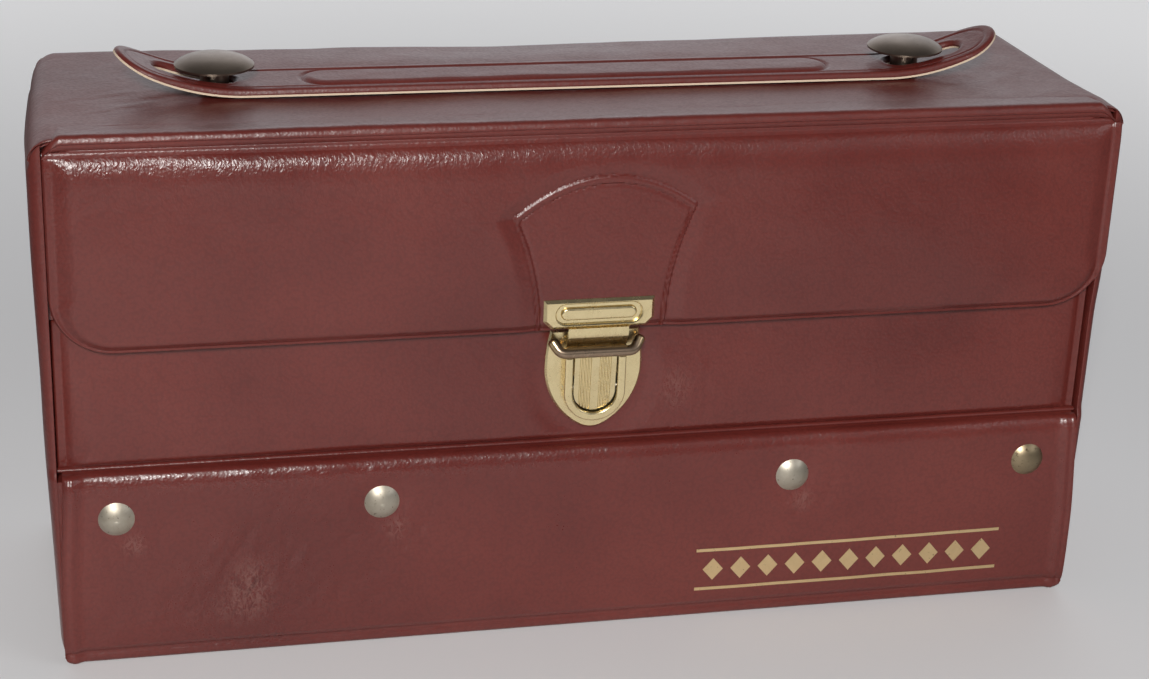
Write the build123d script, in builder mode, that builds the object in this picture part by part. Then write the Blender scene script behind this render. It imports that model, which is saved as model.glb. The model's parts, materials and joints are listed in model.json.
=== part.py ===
from build123d import *
import os
from math import acos, cos, degrees, radians, sin

os.makedirs("parts", exist_ok=True)

# Cassette case: a board box covered in welded vinyl, with a flap and a drop-down front panel.
# Millimetres. The origin is the centre of the underside, +Z is up and -Y is the front.

# ---- driving dimensions -------------------------------------------------------------------
# outside of the box
case_length = 284.0
case_depth = 87.5
case_height = 144.5
# build-up of a wall, from the outside in
sheet = 0.8
cushion = 0.8
board = 2.0
lining_thickness = 0.6
# welded edge round each cover, and how soft its cushion's edge is
weld_margin = 2.4
cushion_round = 0.7
# flap and drop panel boards are thinner than the box's
flap_board_thickness = 1.4
drop_board_thickness = 1.0
# heights on the front
band_top = 55.3
drop_top = 97.5
flap_bottom = 88.75
flap_corner = 16.0
hinge_bead = 1.0
band_shoulder = 2.5
band_depth = 7.25
band_corner = 4.0
# running gaps
panel_gap = 0.4
hinge_gap = 0.3
seat_gap = 0.3
side_gap = 0.3
hole_gap = 0.05
pin_gap = 0.05
# inner tray for boxed cassettes
tray_wall = 1.5
tray_height = 45.8
slot_count = 15
divider = 1.0
divider_height = 40.0
divider_nose = 10.0
# band rivets
rivet_height = 42.6
rivet_inset = 14.8
rivet_step = 69.8
rivet_head = 9.5
rivet_dome = 1.7
rivet_shank = 3.2
burr_radius = 3.4
burr_thick = 0.8
# handle
stud_spacing = 192.0
stud_shank = 7.7
stud_head = 21.0
stud_rim_height = 7.2
stud_rim = 0.5
stud_dome = 2.6
stud_rim_angle = 138
stud_tenon = 4.0
stud_burr = 9.0
stud_burr_thick = 1.0
strap_width = 20.5
strap_thick = 1.5
backing_thick = 0.5
strap_lift = 1.2
strap_curl_start = 88.0
strap_curl_radius = 60.0
strap_curl_angle = 34.5
slot_play = 0.7
slot_inner = 5.2
slot_outer = 16.6
grip_length = 146.0
grip_width = 13.0
grip_thick = 1.4
strap_joint_gap = 0.2
# lock, front half on the flap
hasp_width = 30.0
hasp_low = 90.2
hasp_high = 98.4
hasp_thick = 1.3
hasp_bevel = 0.8
hasp_clip = 2.2
hasp_recess_length = 23.3
hasp_recess_width = 5.8
hasp_recess_depth = 0.95
hasp_recess_lip = 0.3
hasp_bar_length = 20.6
hasp_bar_width = 3.6
hasp_bar_rise = 0.8
hasp_bar_foot = 0.05
tongue_width = 16.4
tongue_thick = 1.1
tongue_set_back = 0.1
tongue_bend = 1.5
tongue_knee_high = 88.0
tongue_knee_low = 84.6
tongue_tip_out = 3.2
tongue_tip = 83.0
hasp_rivet_spread = 12.9
lock_rivet = 1.8
# lock, lower half on the drop panel
shield_half = 13.3
shield_top_half = 12.1
shield_top = 88.2
shield_shoulder = 77.5
shield_low = 59.5
shield_tip = 7.0
shield_thick = 1.0
shield_bevel = 0.5
shield_rivet_spread = 9.7
shield_rivet_high = 83.0
shield_rivet_low = 69.5
frame_half = 8.4
frame_bore = 6.1
frame_top = 81.3
frame_low = 62.6
frame_rise = 2.8
frame_rim = 0.55
lever_gap = 0.4
lever_top = 82.4
lever_head_out = 3.6
lever_foot_out = 2.5
lever_thick = 1.3
lever_flutes = 8
flute_radius = 0.3
flute_pitch = 0.85
flute_parting = 2.0
pivot_height = 72.0
pivot_out = 1.7
pivot_radius = 0.6
knuckle_radius = 1.05
stirrup_radius = 1.45
stirrup_height = 83.2
stirrup_out = 4.9
stirrup_straight = 10.0
stirrup_end = 12.3
stirrup_end_height = 86.5
stirrup_end_out = 2.75
stirrup_bend = 2.6
stirrup_ball = 1.0
window_head = 75.0
patch_foot = 0.85
patch_clear = 9.2
patch_crown = 10.4
patch_low_half = 17.2
patch_waist_half = 18.1
patch_high_half = 24.3
patch_groove = 0.9
spring_width = 4.0
spring_thick = 0.3

# ---- places worked out from them ----------------------------------------------------------
half_length = case_length / 2
front = -case_depth / 2
back = case_depth / 2
cover = sheet + cushion
wall = cover + board + lining_thickness
flap_thick = cover + flap_board_thickness + lining_thickness
drop_thick = cover + drop_board_thickness + lining_thickness

flap_inner = front + flap_thick
drop_face = flap_inner + panel_gap
drop_board_face = drop_face + cover
drop_lining_face = drop_board_face + drop_board_thickness
drop_inner = drop_face + drop_thick
band_inner = front + band_depth
hinge_depth = front + hinge_bead + sheet + panel_gap
hinge_height = case_height - cover
flap_top = hinge_height - hinge_bead - hinge_gap
drop_low = band_top + hinge_gap

end_inner = half_length - cover
end_board_inner = end_inner - board
room_half = half_length - wall
back_sheet = back - cover
back_board_inner = back_sheet - board
room_back = back - wall
top_sheet = case_height - cover
top_board_low = top_sheet - board
room_top = case_height - wall
room_floor = wall
lid_line = drop_top + hinge_gap
jamb = drop_face + seat_gap / 2
sill = band_inner + seat_gap / 2

tray_half = room_half - side_gap
tray_front = band_inner + seat_gap
tray_back = room_back - side_gap

stud_x = stud_spacing / 2
strap_low = case_height + strap_lift
backing_top = strap_low + backing_thick
strap_top = backing_top + strap_thick


def facing_front(depth):
    """A plane at this Y that faces the front, with X to the right and Z up."""
    return Plane.XZ.offset(-depth)


def block(width_span, depth_span, height_span):
    """A plain board between the given lowest and highest X, Y and Z."""
    with BuildPart() as piece:
        with BuildSketch(Plane.XY.offset(height_span[0])):
            with Locations((sum(width_span) / 2, sum(depth_span) / 2)):
                Rectangle(width_span[1] - width_span[0], depth_span[1] - depth_span[0])
        extrude(amount=height_span[1] - height_span[0])
    return piece


def welded_panel(plane, width_span, height_span, low_corner=0.0):
    """Adds a welded cover standing on this plane: a thin sheet, then a soft-edged cushion."""
    for level, thick, inset in ((0.0, sheet, 0.0), (sheet, cushion, weld_margin)):
        low, high = height_span[0] + inset, height_span[1] - inset
        left, right = width_span[0] + inset, width_span[1] - inset
        with BuildSketch(plane.offset(level)) as outline:
            with Locations(((left + right) / 2, (low + high) / 2)):
                Rectangle(right - left, high - low)
            if low_corner:
                fillet(outline.vertices().group_by(Axis.Y)[0], low_corner - inset)
        extrude(outline.sketch, amount=thick)
    rim = faces().sort_by(Axis(plane.origin, plane.z_dir))[-1].edges()
    fillet(rim, cushion_round)


# ---- box: boards ---------------------------------------------------------------------------
bottom_board = block(
    (-end_board_inner, end_board_inner), (band_inner, back_board_inner), (cover, cover + board)
)
bottom_board.part.label = "bottom_board"
export_step(bottom_board.part, "parts/bottom_board.step")

back_board = block((-end_inner, end_inner), (back_board_inner, back_sheet), (cover, top_sheet))
back_board.part.label = "back_board"
export_step(back_board.part, "parts/back_board.step")

# The top board stops short of the flap's inner face, and takes the handle studs' tenons.
with BuildPart() as top_board:
    with BuildSketch(Plane.XY.offset(top_board_low)):
        with Locations((0, (flap_inner + seat_gap + back_board_inner) / 2)):
            Rectangle(2 * end_board_inner, back_board_inner - flap_inner - seat_gap)
        with Locations((-stud_x, 0), (stud_x, 0)):
            Circle(stud_tenon / 2 + hole_gap, mode=Mode.SUBTRACT)
    extrude(amount=board)
top_board.part.label = "top_board"
export_step(top_board.part, "parts/top_board.step")

# End boards and covers are stepped at the front: under the band, beside the drop panel, and
# out to the flap above it.
for side, sign in (("left", -1), ("right", 1)):
    with BuildPart() as end_board:
        with BuildSketch(Plane.YZ.offset(min(sign * end_board_inner, sign * end_inner))):
            with BuildLine():
                Polyline(
                    (sill, cover),
                    (sill, lid_line),
                    (jamb, lid_line),
                    (jamb, top_sheet),
                    (back_board_inner, top_sheet),
                    (back_board_inner, cover),
                    close=True,
                )
            make_face()
        extrude(amount=board)
    end_board.part.label = f"{side}_end_board"
    export_step(end_board.part, f"parts/{side}_end_board.step")

    outward = Plane(origin=(sign * end_inner, 0, 0), x_dir=(0, sign, 0), z_dir=(sign, 0, 0))
    with BuildPart() as end_cover:
        for level, thick, inset in ((0.0, sheet, 0.0), (sheet, cushion, weld_margin)):
            with BuildSketch(outward.offset(level)):
                with BuildLine():
                    Polyline(
                        (sign * (front + cover + inset), seat_gap + inset),
                        (sign * (front + cover + inset), band_top - band_shoulder),
                        (sign * (front + band_shoulder + inset), band_top - cover),
                        (sign * (sill + inset), band_top - cover),
                        (sign * (sill + inset), lid_line + inset),
                        (sign * (jamb + inset), lid_line + inset),
                        (sign * (jamb + inset), top_sheet - inset),
                        (sign * (back_sheet - inset), top_sheet - inset),
                        (sign * (back_sheet - inset), seat_gap + inset),
                        close=True,
                    )
                make_face()
            extrude(amount=thick)
        fillet(end_cover.faces().sort_by(Axis.X)[-1 if sign > 0 else 0].edges(), cushion_round)
    end_cover.part.label = f"{side}_end_cover"
    export_step(end_cover.part, f"parts/{side}_end_cover.step")

# ---- box: vinyl covers ---------------------------------------------------------------------
# The underside stands inside the four upright covers and carries the case.
with BuildPart() as bottom_cover:
    with BuildSketch(Plane.XY):
        RectangleRounded(2 * end_inner, 2 * back_sheet, band_corner)
    extrude(amount=cover)
    fillet(bottom_cover.faces().sort_by(Axis.Z)[0].edges(), hinge_gap)
bottom_cover.part.label = "bottom_cover"
export_step(bottom_cover.part, "parts/bottom_cover.step")

facing_back = Plane(origin=(0, back_sheet, 0), x_dir=(-1, 0, 0), z_dir=(0, 1, 0))
with BuildPart() as back_cover:
    welded_panel(facing_back, (-half_length, half_length), (seat_gap, top_sheet), band_corner)
back_cover.part.label = "back_cover"
export_step(back_cover.part, "parts/back_cover.step")

# The top sheet ends at the front in the rolled bead of the flap's live hinge.
with BuildPart() as top_cover:
    with BuildSketch(Plane.XY.offset(top_sheet)):
        with Locations((0, (hinge_depth + back) / 2)):
            Rectangle(case_length, back - hinge_depth)
    extrude(amount=sheet)
    with BuildSketch(Plane.YZ.offset(-half_length)):
        with Locations((hinge_depth, hinge_height)):
            Circle(hinge_bead)
    extrude(amount=case_length)
    cushion_front = hinge_depth + hinge_bead + weld_margin
    with BuildSketch(Plane.XY.offset(top_sheet + sheet)):
        with Locations((0, (cushion_front + back - weld_margin) / 2)):
            Rectangle(case_length - 2 * weld_margin, back - weld_margin - cushion_front)
    extrude(amount=cushion)
    fillet(top_cover.faces().sort_by(Axis.Z)[-1].edges(), cushion_round)
    with BuildSketch(Plane.XY.offset(top_sheet)):
        with Locations((-stud_x, 0), (stud_x, 0)):
            Circle(stud_tenon / 2 + hole_gap)
    extrude(amount=cover, mode=Mode.SUBTRACT)
top_cover.part.label = "top_cover"
export_step(top_cover.part, "parts/top_cover.step")

# The band's cover turns over a soft shoulder into the ledge that the drop panel hinges on.
rivet_outer = half_length - rivet_inset
rivet_inner = rivet_outer - rivet_step
rivet_places = [(x, rivet_height) for x in (-rivet_outer, -rivet_inner, rivet_inner, rivet_outer)]
with BuildPart() as band_cover:
    with BuildSketch(Plane.YZ.offset(-half_length)):
        with BuildLine():
            Polyline(
                (front + band_shoulder, band_top),
                (drop_face, band_top),
                (drop_face, band_top - cover),
                (front + band_shoulder, band_top - cover),
            )
            RadiusArc(
                (front + band_shoulder, band_top - cover),
                (front + cover, band_top - band_shoulder),
                cover - band_shoulder,
            )
            Polyline(
                (front + cover, band_top - band_shoulder),
                (front + cover, seat_gap),
                (front + cushion, seat_gap),
                (front + cushion, seat_gap + weld_margin - cushion),
                (front, seat_gap + weld_margin),
                (front, band_top - band_shoulder),
            )
            RadiusArc(
                (front, band_top - band_shoulder), (front + band_shoulder, band_top), band_shoulder
            )
        make_face()
    extrude(amount=case_length)
    with BuildSketch(facing_front(front + cover)):
        with Locations(*rivet_places):
            Circle(rivet_shank / 2 + hole_gap)
    extrude(amount=cover, mode=Mode.SUBTRACT)
    corners = band_cover.edges().filter_by(Axis.Y).group_by(Axis.Z)[0]
    fillet(corners, weld_margin)
band_cover.part.label = "band_cover"
export_step(band_cover.part, "parts/band_cover.step")

# Foam behind the band's cover and the board behind that, both pierced by the rivets.
band_board_face = band_inner - board
with BuildPart() as band_foam:
    with BuildSketch(facing_front(band_board_face)):
        with Locations((0, band_top / 2)):
            Rectangle(2 * end_inner, band_top - 2 * cover)
        with Locations(*rivet_places):
            Circle(rivet_shank / 2 + hole_gap, mode=Mode.SUBTRACT)
    extrude(amount=band_board_face - front - cover)
    front_edges = band_foam.faces().sort_by(Axis.Y)[0].edges().filter_by(Axis.X)
    fillet(front_edges.sort_by(Axis.Z)[-1], band_shoulder - cover)
band_foam.part.label = "band_foam"
export_step(band_foam.part, "parts/band_foam.step")

with BuildPart() as band_board:
    with BuildSketch(facing_front(band_inner)):
        with Locations((0, band_top / 2)):
            Rectangle(2 * end_inner, band_top - 2 * cover)
        with Locations(*rivet_places):
            Circle(rivet_shank / 2 + hole_gap, mode=Mode.SUBTRACT)
    extrude(amount=board)
band_board.part.label = "band_board"
export_step(band_board.part, "parts/band_board.step")

# ---- box: lining ---------------------------------------------------------------------------
with BuildPart() as lining:
    with BuildSketch(facing_front(sill)):
        with Locations((0, (top_board_low + cover + board) / 2)):
            Rectangle(2 * end_board_inner, top_board_low - cover - board)
    extrude(amount=sill - back_board_inner)
    with BuildSketch(facing_front(sill)):
        with Locations((0, (room_top + room_floor) / 2)):
            Rectangle(2 * room_half, room_top - room_floor)
    extrude(amount=sill - room_back, mode=Mode.SUBTRACT)
    with BuildSketch(Plane.XY.offset(room_top)):
        with Locations((-stud_x, 0), (stud_x, 0)):
            Circle(stud_tenon / 2 + hole_gap)
    extrude(amount=lining_thickness, mode=Mode.SUBTRACT)
lining.part.label = "lining"
export_step(lining.part, "parts/lining.step")

# ---- tray for the boxed cassettes ----------------------------------------------------------
with BuildPart() as tray:
    with BuildSketch(Plane.XY.offset(room_floor)):
        with Locations((0, (tray_front + tray_back) / 2)):
            Rectangle(2 * tray_half, tray_back - tray_front)
    extrude(amount=tray_height)
    with BuildSketch(Plane.XY.offset(room_floor + tray_wall)):
        with Locations((0, (tray_front + tray_back) / 2)):
            Rectangle(2 * (tray_half - tray_wall), tray_back - tray_front - 2 * tray_wall)
    extrude(amount=tray_height - tray_wall, mode=Mode.SUBTRACT)
    with BuildSketch(facing_front(tray_front + tray_wall)):
        with Locations(*rivet_places):
            Circle(rivet_shank / 2 + hole_gap)
    extrude(amount=tray_wall, mode=Mode.SUBTRACT)
tray.part.label = "tray"
export_step(tray.part, "parts/tray.step")

# Thin partitions stand across the tray, each with its upper front corner rounded off.
slot_pitch = (2 * (tray_half - tray_wall) + divider) / slot_count
divider_middle = room_floor + tray_wall + divider_height / 2
with BuildPart() as tray_dividers:
    for slot in range(1, slot_count):
        left_face = tray_wall - tray_half - divider + slot * slot_pitch
        with BuildSketch(Plane.YZ.offset(left_face)) as partition:
            with Locations(((tray_front + tray_back) / 2, divider_middle)):
                Rectangle(tray_back - tray_front - 2 * tray_wall, divider_height)
            fillet(partition.vertices().group_by(Axis.Y)[-1].sort_by(Axis.X)[0], divider_nose)
        extrude(amount=divider)
tray_dividers.part.label = "tray_dividers"
export_step(tray_dividers.part, "parts/tray_dividers.step")

# ---- band rivets ---------------------------------------------------------------------------
# A shallow domed cap on a shank that reaches through band and tray to a burr inside.
burr_face = tray_front + tray_wall
dome_sphere = ((rivet_head / 2) ** 2 + rivet_dome**2) / (2 * rivet_dome)
for name, places in (("band_rivets", rivet_places[:3]), ("band_rivet_brass", rivet_places[3:])):
    with BuildPart() as rivets:
        for x, z in places:
            with BuildSketch(Plane(origin=(x, front, z), x_dir=(1, 0, 0), z_dir=(0, 0, 1))):
                with BuildLine():
                    Line((0, 0), (rivet_head / 2, 0))
                    RadiusArc((rivet_head / 2, 0), (0, -rivet_dome), dome_sphere)
                    Line((0, -rivet_dome), (0, 0))
                make_face()
            revolve(axis=Axis((x, front, z), (0, 1, 0)))
            with Locations(Location((x, (front + burr_face) / 2, z), (90, 0, 0))):
                Cylinder(rivet_shank / 2, burr_face - front)
    rivets.part.label = name
    export_step(rivets.part, f"parts/{name}.step")

with BuildPart() as rivet_burrs:
    with BuildSketch(facing_front(burr_face + burr_thick)):
        with Locations(*rivet_places):
            Circle(burr_radius)
    extrude(amount=burr_thick)
    chamfer(rivet_burrs.faces().group_by(Axis.Y)[-1].edges(), burr_thick / 2)
rivet_burrs.part.label = "rivet_burrs"
export_step(rivet_burrs.part, "parts/rivet_burrs.step")

# ---- handle studs --------------------------------------------------------------------------
# A mushroom head on a stout neck, and a tenon through the top to a washer and burr inside.
rim_low = case_height + stud_rim_height
rim_high = rim_low + stud_rim
head_radius = stud_head / 2
neck_radius = stud_shank / 2
rim_direction = (cos(radians(stud_rim_angle)), sin(radians(stud_rim_angle)))
with BuildPart() as handle_studs:
    for x in (-stud_x, stud_x):
        with BuildSketch(Plane(origin=(x, 0, 0), x_dir=(1, 0, 0), z_dir=(0, -1, 0))):
            with BuildLine():
                Polyline(
                    (0, room_top),
                    (stud_tenon / 2, room_top),
                    (stud_tenon / 2, case_height),
                    (neck_radius, case_height),
                    (neck_radius, rim_low - stud_rim),
                    (neck_radius + stud_rim, rim_low),
                    (head_radius, rim_low),
                    (head_radius, rim_high),
                )
                Spline(
                    (head_radius, rim_high),
                    (0, rim_high + stud_dome),
                    tangents=(rim_direction, (-1, 0)),
                )
                Line((0, rim_high + stud_dome), (0, room_top))
            make_face()
        revolve(axis=Axis((x, 0, 0), (0, 0, 1)))
handle_studs.part.label = "handle_studs"
export_step(handle_studs.part, "parts/handle_studs.step")

with BuildPart() as stud_washers:
    with BuildSketch(Plane.XY.offset(room_top - stud_burr_thick)):
        with Locations((-stud_x, 0), (stud_x, 0)):
            Circle(stud_burr)
    extrude(amount=stud_burr_thick)
    chamfer(stud_washers.faces().group_by(Axis.Z)[0].edges(), stud_burr_thick / 3)
stud_washers.part.label = "stud_washers"
export_step(stud_washers.part, "parts/stud_washers.step")

# ---- handle strap --------------------------------------------------------------------------
# One strap in two halves that butt at the middle. Each end passes under its stud through a
# slot and curls up beyond it. The profile is drawn from the side, then cut to its plan.
strap_half = strap_curl_start + strap_curl_radius * sin(radians(strap_curl_angle))


def strap_layer(sign, low, high):
    """One half of the strap between two heights, curled up at its outer end."""
    inner_end = sign * strap_joint_gap / 2
    bend = sign * strap_curl_start
    with BuildPart() as layer:
        with BuildSketch(Plane.XZ.offset(-strap_width / 2)):
            with BuildLine():
                curls = [
                    JernArc(
                        (bend, height),
                        (sign, 0),
                        strap_curl_radius + strap_low - height,
                        sign * strap_curl_angle,
                    )
                    for height in (low, high)
                ]
                Line(curls[0] @ 1, curls[1] @ 1)
                Polyline((bend, low), (inner_end, low), (inner_end, high), (bend, high))
            make_face()
        extrude(amount=strap_width)
        with BuildSketch(Plane.XY.offset(case_height)):
            with Locations((sign * (strap_half - strap_width) / 2, 0)):
                Rectangle(strap_half, strap_width)
            with Locations((sign * (strap_half - strap_width / 2), 0)):
                Circle(strap_width / 2)
            with Locations((sign * (stud_x + (slot_outer - slot_inner) / 2), 0)):
                SlotOverall(slot_outer + slot_inner, stud_shank + slot_play, mode=Mode.SUBTRACT)
        extrude(amount=strap_curl_radius, mode=Mode.INTERSECT)
    return layer


for side, sign in (("left", -1), ("right", 1)):
    backing = strap_layer(sign, strap_low, backing_top)
    backing.part.label = f"backing_{side}"
    export_step(backing.part, f"parts/backing_{side}.step")

    strap = strap_layer(sign, backing_top, strap_top)
    strap.part.label = f"strap_{side}"
    export_step(strap.part, f"parts/strap_{side}.step")

    # Half of the long padded grip, with its outer end round.
    with BuildPart() as grip:
        with BuildSketch(Plane.XY.offset(strap_top)):
            with Locations((sign * (grip_length - grip_width) / 4, 0)):
                Rectangle((grip_length - grip_width) / 2, grip_width)
            with Locations((sign * (grip_length - grip_width) / 2, 0)):
                Circle(grip_width / 2)
            with Locations((0, 0)):
                Rectangle(strap_joint_gap, grip_width, mode=Mode.SUBTRACT)
            split_at = sign * strap_joint_gap / 2
        extrude(amount=grip_thick)
        outer = grip.faces().sort_by(Axis.Z)[-1].edges().filter_by(
            lambda edge: abs(edge.center().X - split_at) > strap_joint_gap
        )
        fillet(outer, grip_thick - hole_gap)
    grip.part.label = f"grip_{side}"
    export_step(grip.part, f"parts/grip_{side}.step")

# ---- flap ----------------------------------------------------------------------------------
flap_half = half_length - side_gap
hasp_middle = (hasp_low + hasp_high) / 2
hasp_rivet_places = [(-hasp_rivet_spread, hasp_middle), (hasp_rivet_spread, hasp_middle)]


patch_low = flap_bottom + patch_foot
patch_apex = flap_top - patch_clear
patch_high = patch_apex - patch_crown
patch_waist_height = (patch_low + patch_high) / 2


def fan_outline(inset):
    """The embossed fan above the lock, drawn inside its edge by the given inset."""
    low, waist = patch_low_half - inset, patch_waist_half - inset
    high, shoulder = patch_high_half - inset, patch_high - inset / 2
    with BuildLine() as outline:
        ThreePointArc((low, patch_low), (waist, patch_waist_height), (high, shoulder))
        ThreePointArc((high, shoulder), (0, patch_apex - inset), (-high, shoulder))
        ThreePointArc((-high, shoulder), (-waist, patch_waist_height), (-low, patch_low))
        Line((-low, patch_low), (low, patch_low))
    return outline


with BuildPart() as flap_cover:
    flap_span = (-flap_half, flap_half)
    welded_panel(facing_front(front + cover), flap_span, (flap_bottom, flap_top), flap_corner)
    # the fan's bed is cut through the cushion, down to the sheet and out to the flap's edge
    with BuildSketch(facing_front(front + cushion)):
        add(fan_outline(0))
        make_face()
    extrude(amount=cushion, mode=Mode.SUBTRACT)
    with BuildSketch(facing_front(front + cover)):
        with Locations(*hasp_rivet_places):
            Circle(lock_rivet / 2 + hole_gap)
    extrude(amount=sheet, mode=Mode.SUBTRACT)
flap_cover.part.label = "flap_cover"
export_step(flap_cover.part, "parts/flap_cover.step")

# The fan itself: a flush panel in that bed, with a narrow groove left round it.
with BuildPart() as lock_patch:
    with BuildSketch(facing_front(front + cushion)):
        add(fan_outline(patch_groove))
        make_face()
        with Locations(*hasp_rivet_places):
            Circle(lock_rivet / 2 + hole_gap, mode=Mode.SUBTRACT)
    extrude(amount=cushion)
lock_patch.part.label = "lock_patch"
export_step(lock_patch.part, "parts/lock_patch.step")

for name, outer_face, thick, edge in (
    ("flap_board", front + cover, flap_board_thickness, weld_margin),
    ("flap_lining", front + cover + flap_board_thickness, lining_thickness, 0.0),
):
    with BuildPart() as flap_layer:
        with BuildSketch(facing_front(outer_face + thick)) as layer_face:
            with Locations((0, (flap_bottom + flap_top) / 2)):
                Rectangle(2 * (flap_half - edge), flap_top - flap_bottom - 2 * edge)
            fillet(layer_face.vertices().group_by(Axis.Y)[0], flap_corner - edge)
            if edge:
                with Locations(*hasp_rivet_places):
                    Circle(lock_rivet / 2 + hole_gap, mode=Mode.SUBTRACT)
            else:
                with Locations((0, hasp_middle)):
                    Rectangle(
                        hasp_width + 2 * hole_gap,
                        hasp_high - hasp_low - 2 * hasp_bevel + 2 * hole_gap,
                        mode=Mode.SUBTRACT,
                    )
        extrude(amount=thick)
    flap_layer.part.label = name
    export_step(flap_layer.part, f"parts/{name}.step")

# ---- lock: upper half on the flap ----------------------------------------------------------
with BuildPart() as hasp_plate:
    with BuildSketch(facing_front(front)) as hasp_face:
        with Locations((0, hasp_middle)):
            Rectangle(hasp_width, hasp_high - hasp_low)
        chamfer(hasp_face.vertices().group_by(Axis.Y)[0], hasp_clip)
    extrude(amount=hasp_thick)
    upper_edges = hasp_plate.faces().sort_by(Axis.Y)[0].edges()
    chamfer(upper_edges, hasp_bevel)
    recess_floor = front - hasp_thick + hasp_recess_depth
    with BuildSketch(facing_front(recess_floor)):
        with Locations((0, hasp_middle)):
            SlotOverall(hasp_recess_length, hasp_recess_width)
    extrude(amount=hasp_recess_depth, mode=Mode.SUBTRACT)
    recess_mouth = hasp_plate.faces().sort_by(Axis.Y)[0].inner_wires()[0].edges()
    chamfer(recess_mouth, hasp_recess_lip)
    with BuildSketch(facing_front(recess_floor)):
        with Locations((0, hasp_middle)):
            SlotOverall(hasp_bar_length, hasp_bar_width)
    extrude(amount=hasp_bar_rise)
    bar_crown = hasp_plate.faces().filter_by(Axis.Y).sort_by(Axis.Y)[1]
    fillet(bar_crown.edges(), hasp_bar_rise - hasp_bar_foot)
hasp_plate.part.label = "hasp_plate"
export_step(hasp_plate.part, "parts/hasp_plate.step")

# The tongue is a strip that leaves the plate's lower edge and curls in behind the stirrup.
tongue_high = front - hasp_thick + tongue_set_back + tongue_thick / 2
tongue_deep = drop_face - tongue_tip_out + tongue_thick / 2
with BuildPart() as hasp_tongue:
    with BuildSketch(Plane.YZ.offset(-tongue_width / 2)):
        with BuildLine():
            FilletPolyline(
                (tongue_high, hasp_low),
                (tongue_high, tongue_knee_high),
                (tongue_deep, tongue_knee_low),
                (tongue_deep, tongue_tip),
                radius=tongue_bend,
            )
        trace(line_width=tongue_thick)
    extrude(amount=tongue_width)
hasp_tongue.part.label = "hasp_tongue"
export_step(hasp_tongue.part, "parts/hasp_tongue.step")

with BuildPart() as hasp_backing:
    with BuildSketch(facing_front(flap_inner)):
        with Locations((0, hasp_middle)):
            Rectangle(hasp_width, hasp_high - hasp_low - 2 * hasp_bevel)
        with Locations(*hasp_rivet_places):
            Circle(lock_rivet / 2 + hole_gap, mode=Mode.SUBTRACT)
    extrude(amount=lining_thickness)
hasp_backing.part.label = "hasp_backing"
export_step(hasp_backing.part, "parts/hasp_backing.step")

with BuildPart() as hasp_rivets:
    with BuildSketch(facing_front(flap_inner)):
        with Locations(*hasp_rivet_places):
            Circle(lock_rivet / 2)
    extrude(amount=flap_thick)
hasp_rivets.part.label = "hasp_rivets"
export_step(hasp_rivets.part, "parts/hasp_rivets.step")

# ---- drop panel ----------------------------------------------------------------------------
window_foot = frame_low + frame_half - frame_bore
shield_rivet_places = [
    (x, z)
    for x in (-shield_rivet_spread, shield_rivet_spread)
    for z in (shield_rivet_low, shield_rivet_high)
]


def window_outline():
    """Cuts the opening behind the lever from a sketch: square-headed, with a round foot."""
    with Locations((0, (window_head + window_foot + frame_bore) / 2)):
        Rectangle(2 * frame_bore, window_head - window_foot - frame_bore, mode=Mode.SUBTRACT)
    with Locations((0, window_foot + frame_bore)):
        Circle(frame_bore, mode=Mode.SUBTRACT)


with BuildPart() as drop_cover:
    welded_panel(facing_front(drop_board_face), flap_span, (drop_low, drop_top))
    with BuildSketch(facing_front(drop_board_face)):
        with Locations((0, (drop_low + drop_top) / 2)):
            Rectangle(2 * flap_half, drop_top - drop_low)
        window_outline()
        with Locations(*shield_rivet_places):
            Circle(lock_rivet / 2 + hole_gap, mode=Mode.SUBTRACT)
    extrude(amount=cover, mode=Mode.INTERSECT)
drop_cover.part.label = "drop_cover"
export_step(drop_cover.part, "parts/drop_cover.step")

with BuildPart() as drop_board:
    with BuildSketch(facing_front(drop_lining_face)):
        with Locations((0, (drop_low + drop_top) / 2)):
            Rectangle(2 * (flap_half - weld_margin), drop_top - drop_low - 2 * weld_margin)
        window_outline()
        with Locations(*shield_rivet_places):
            Circle(lock_rivet / 2 + hole_gap, mode=Mode.SUBTRACT)
    extrude(amount=drop_board_thickness)
drop_board.part.label = "drop_board"
export_step(drop_board.part, "parts/drop_board.step")

# ---- lock: lower half on the drop panel ----------------------------------------------------
backing_low = shield_low + shield_tip
with BuildPart() as drop_lining:
    with BuildSketch(facing_front(drop_inner)):
        with Locations((0, (drop_low + drop_top) / 2)):
            Rectangle(2 * flap_half, drop_top - drop_low)
        with Locations((0, (backing_low + shield_top) / 2)):
            Rectangle(
                2 * (shield_half + hole_gap),
                shield_top - backing_low + 2 * hole_gap,
                mode=Mode.SUBTRACT,
            )
    extrude(amount=lining_thickness)
drop_lining.part.label = "drop_lining"
export_step(drop_lining.part, "parts/drop_lining.step")

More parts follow.
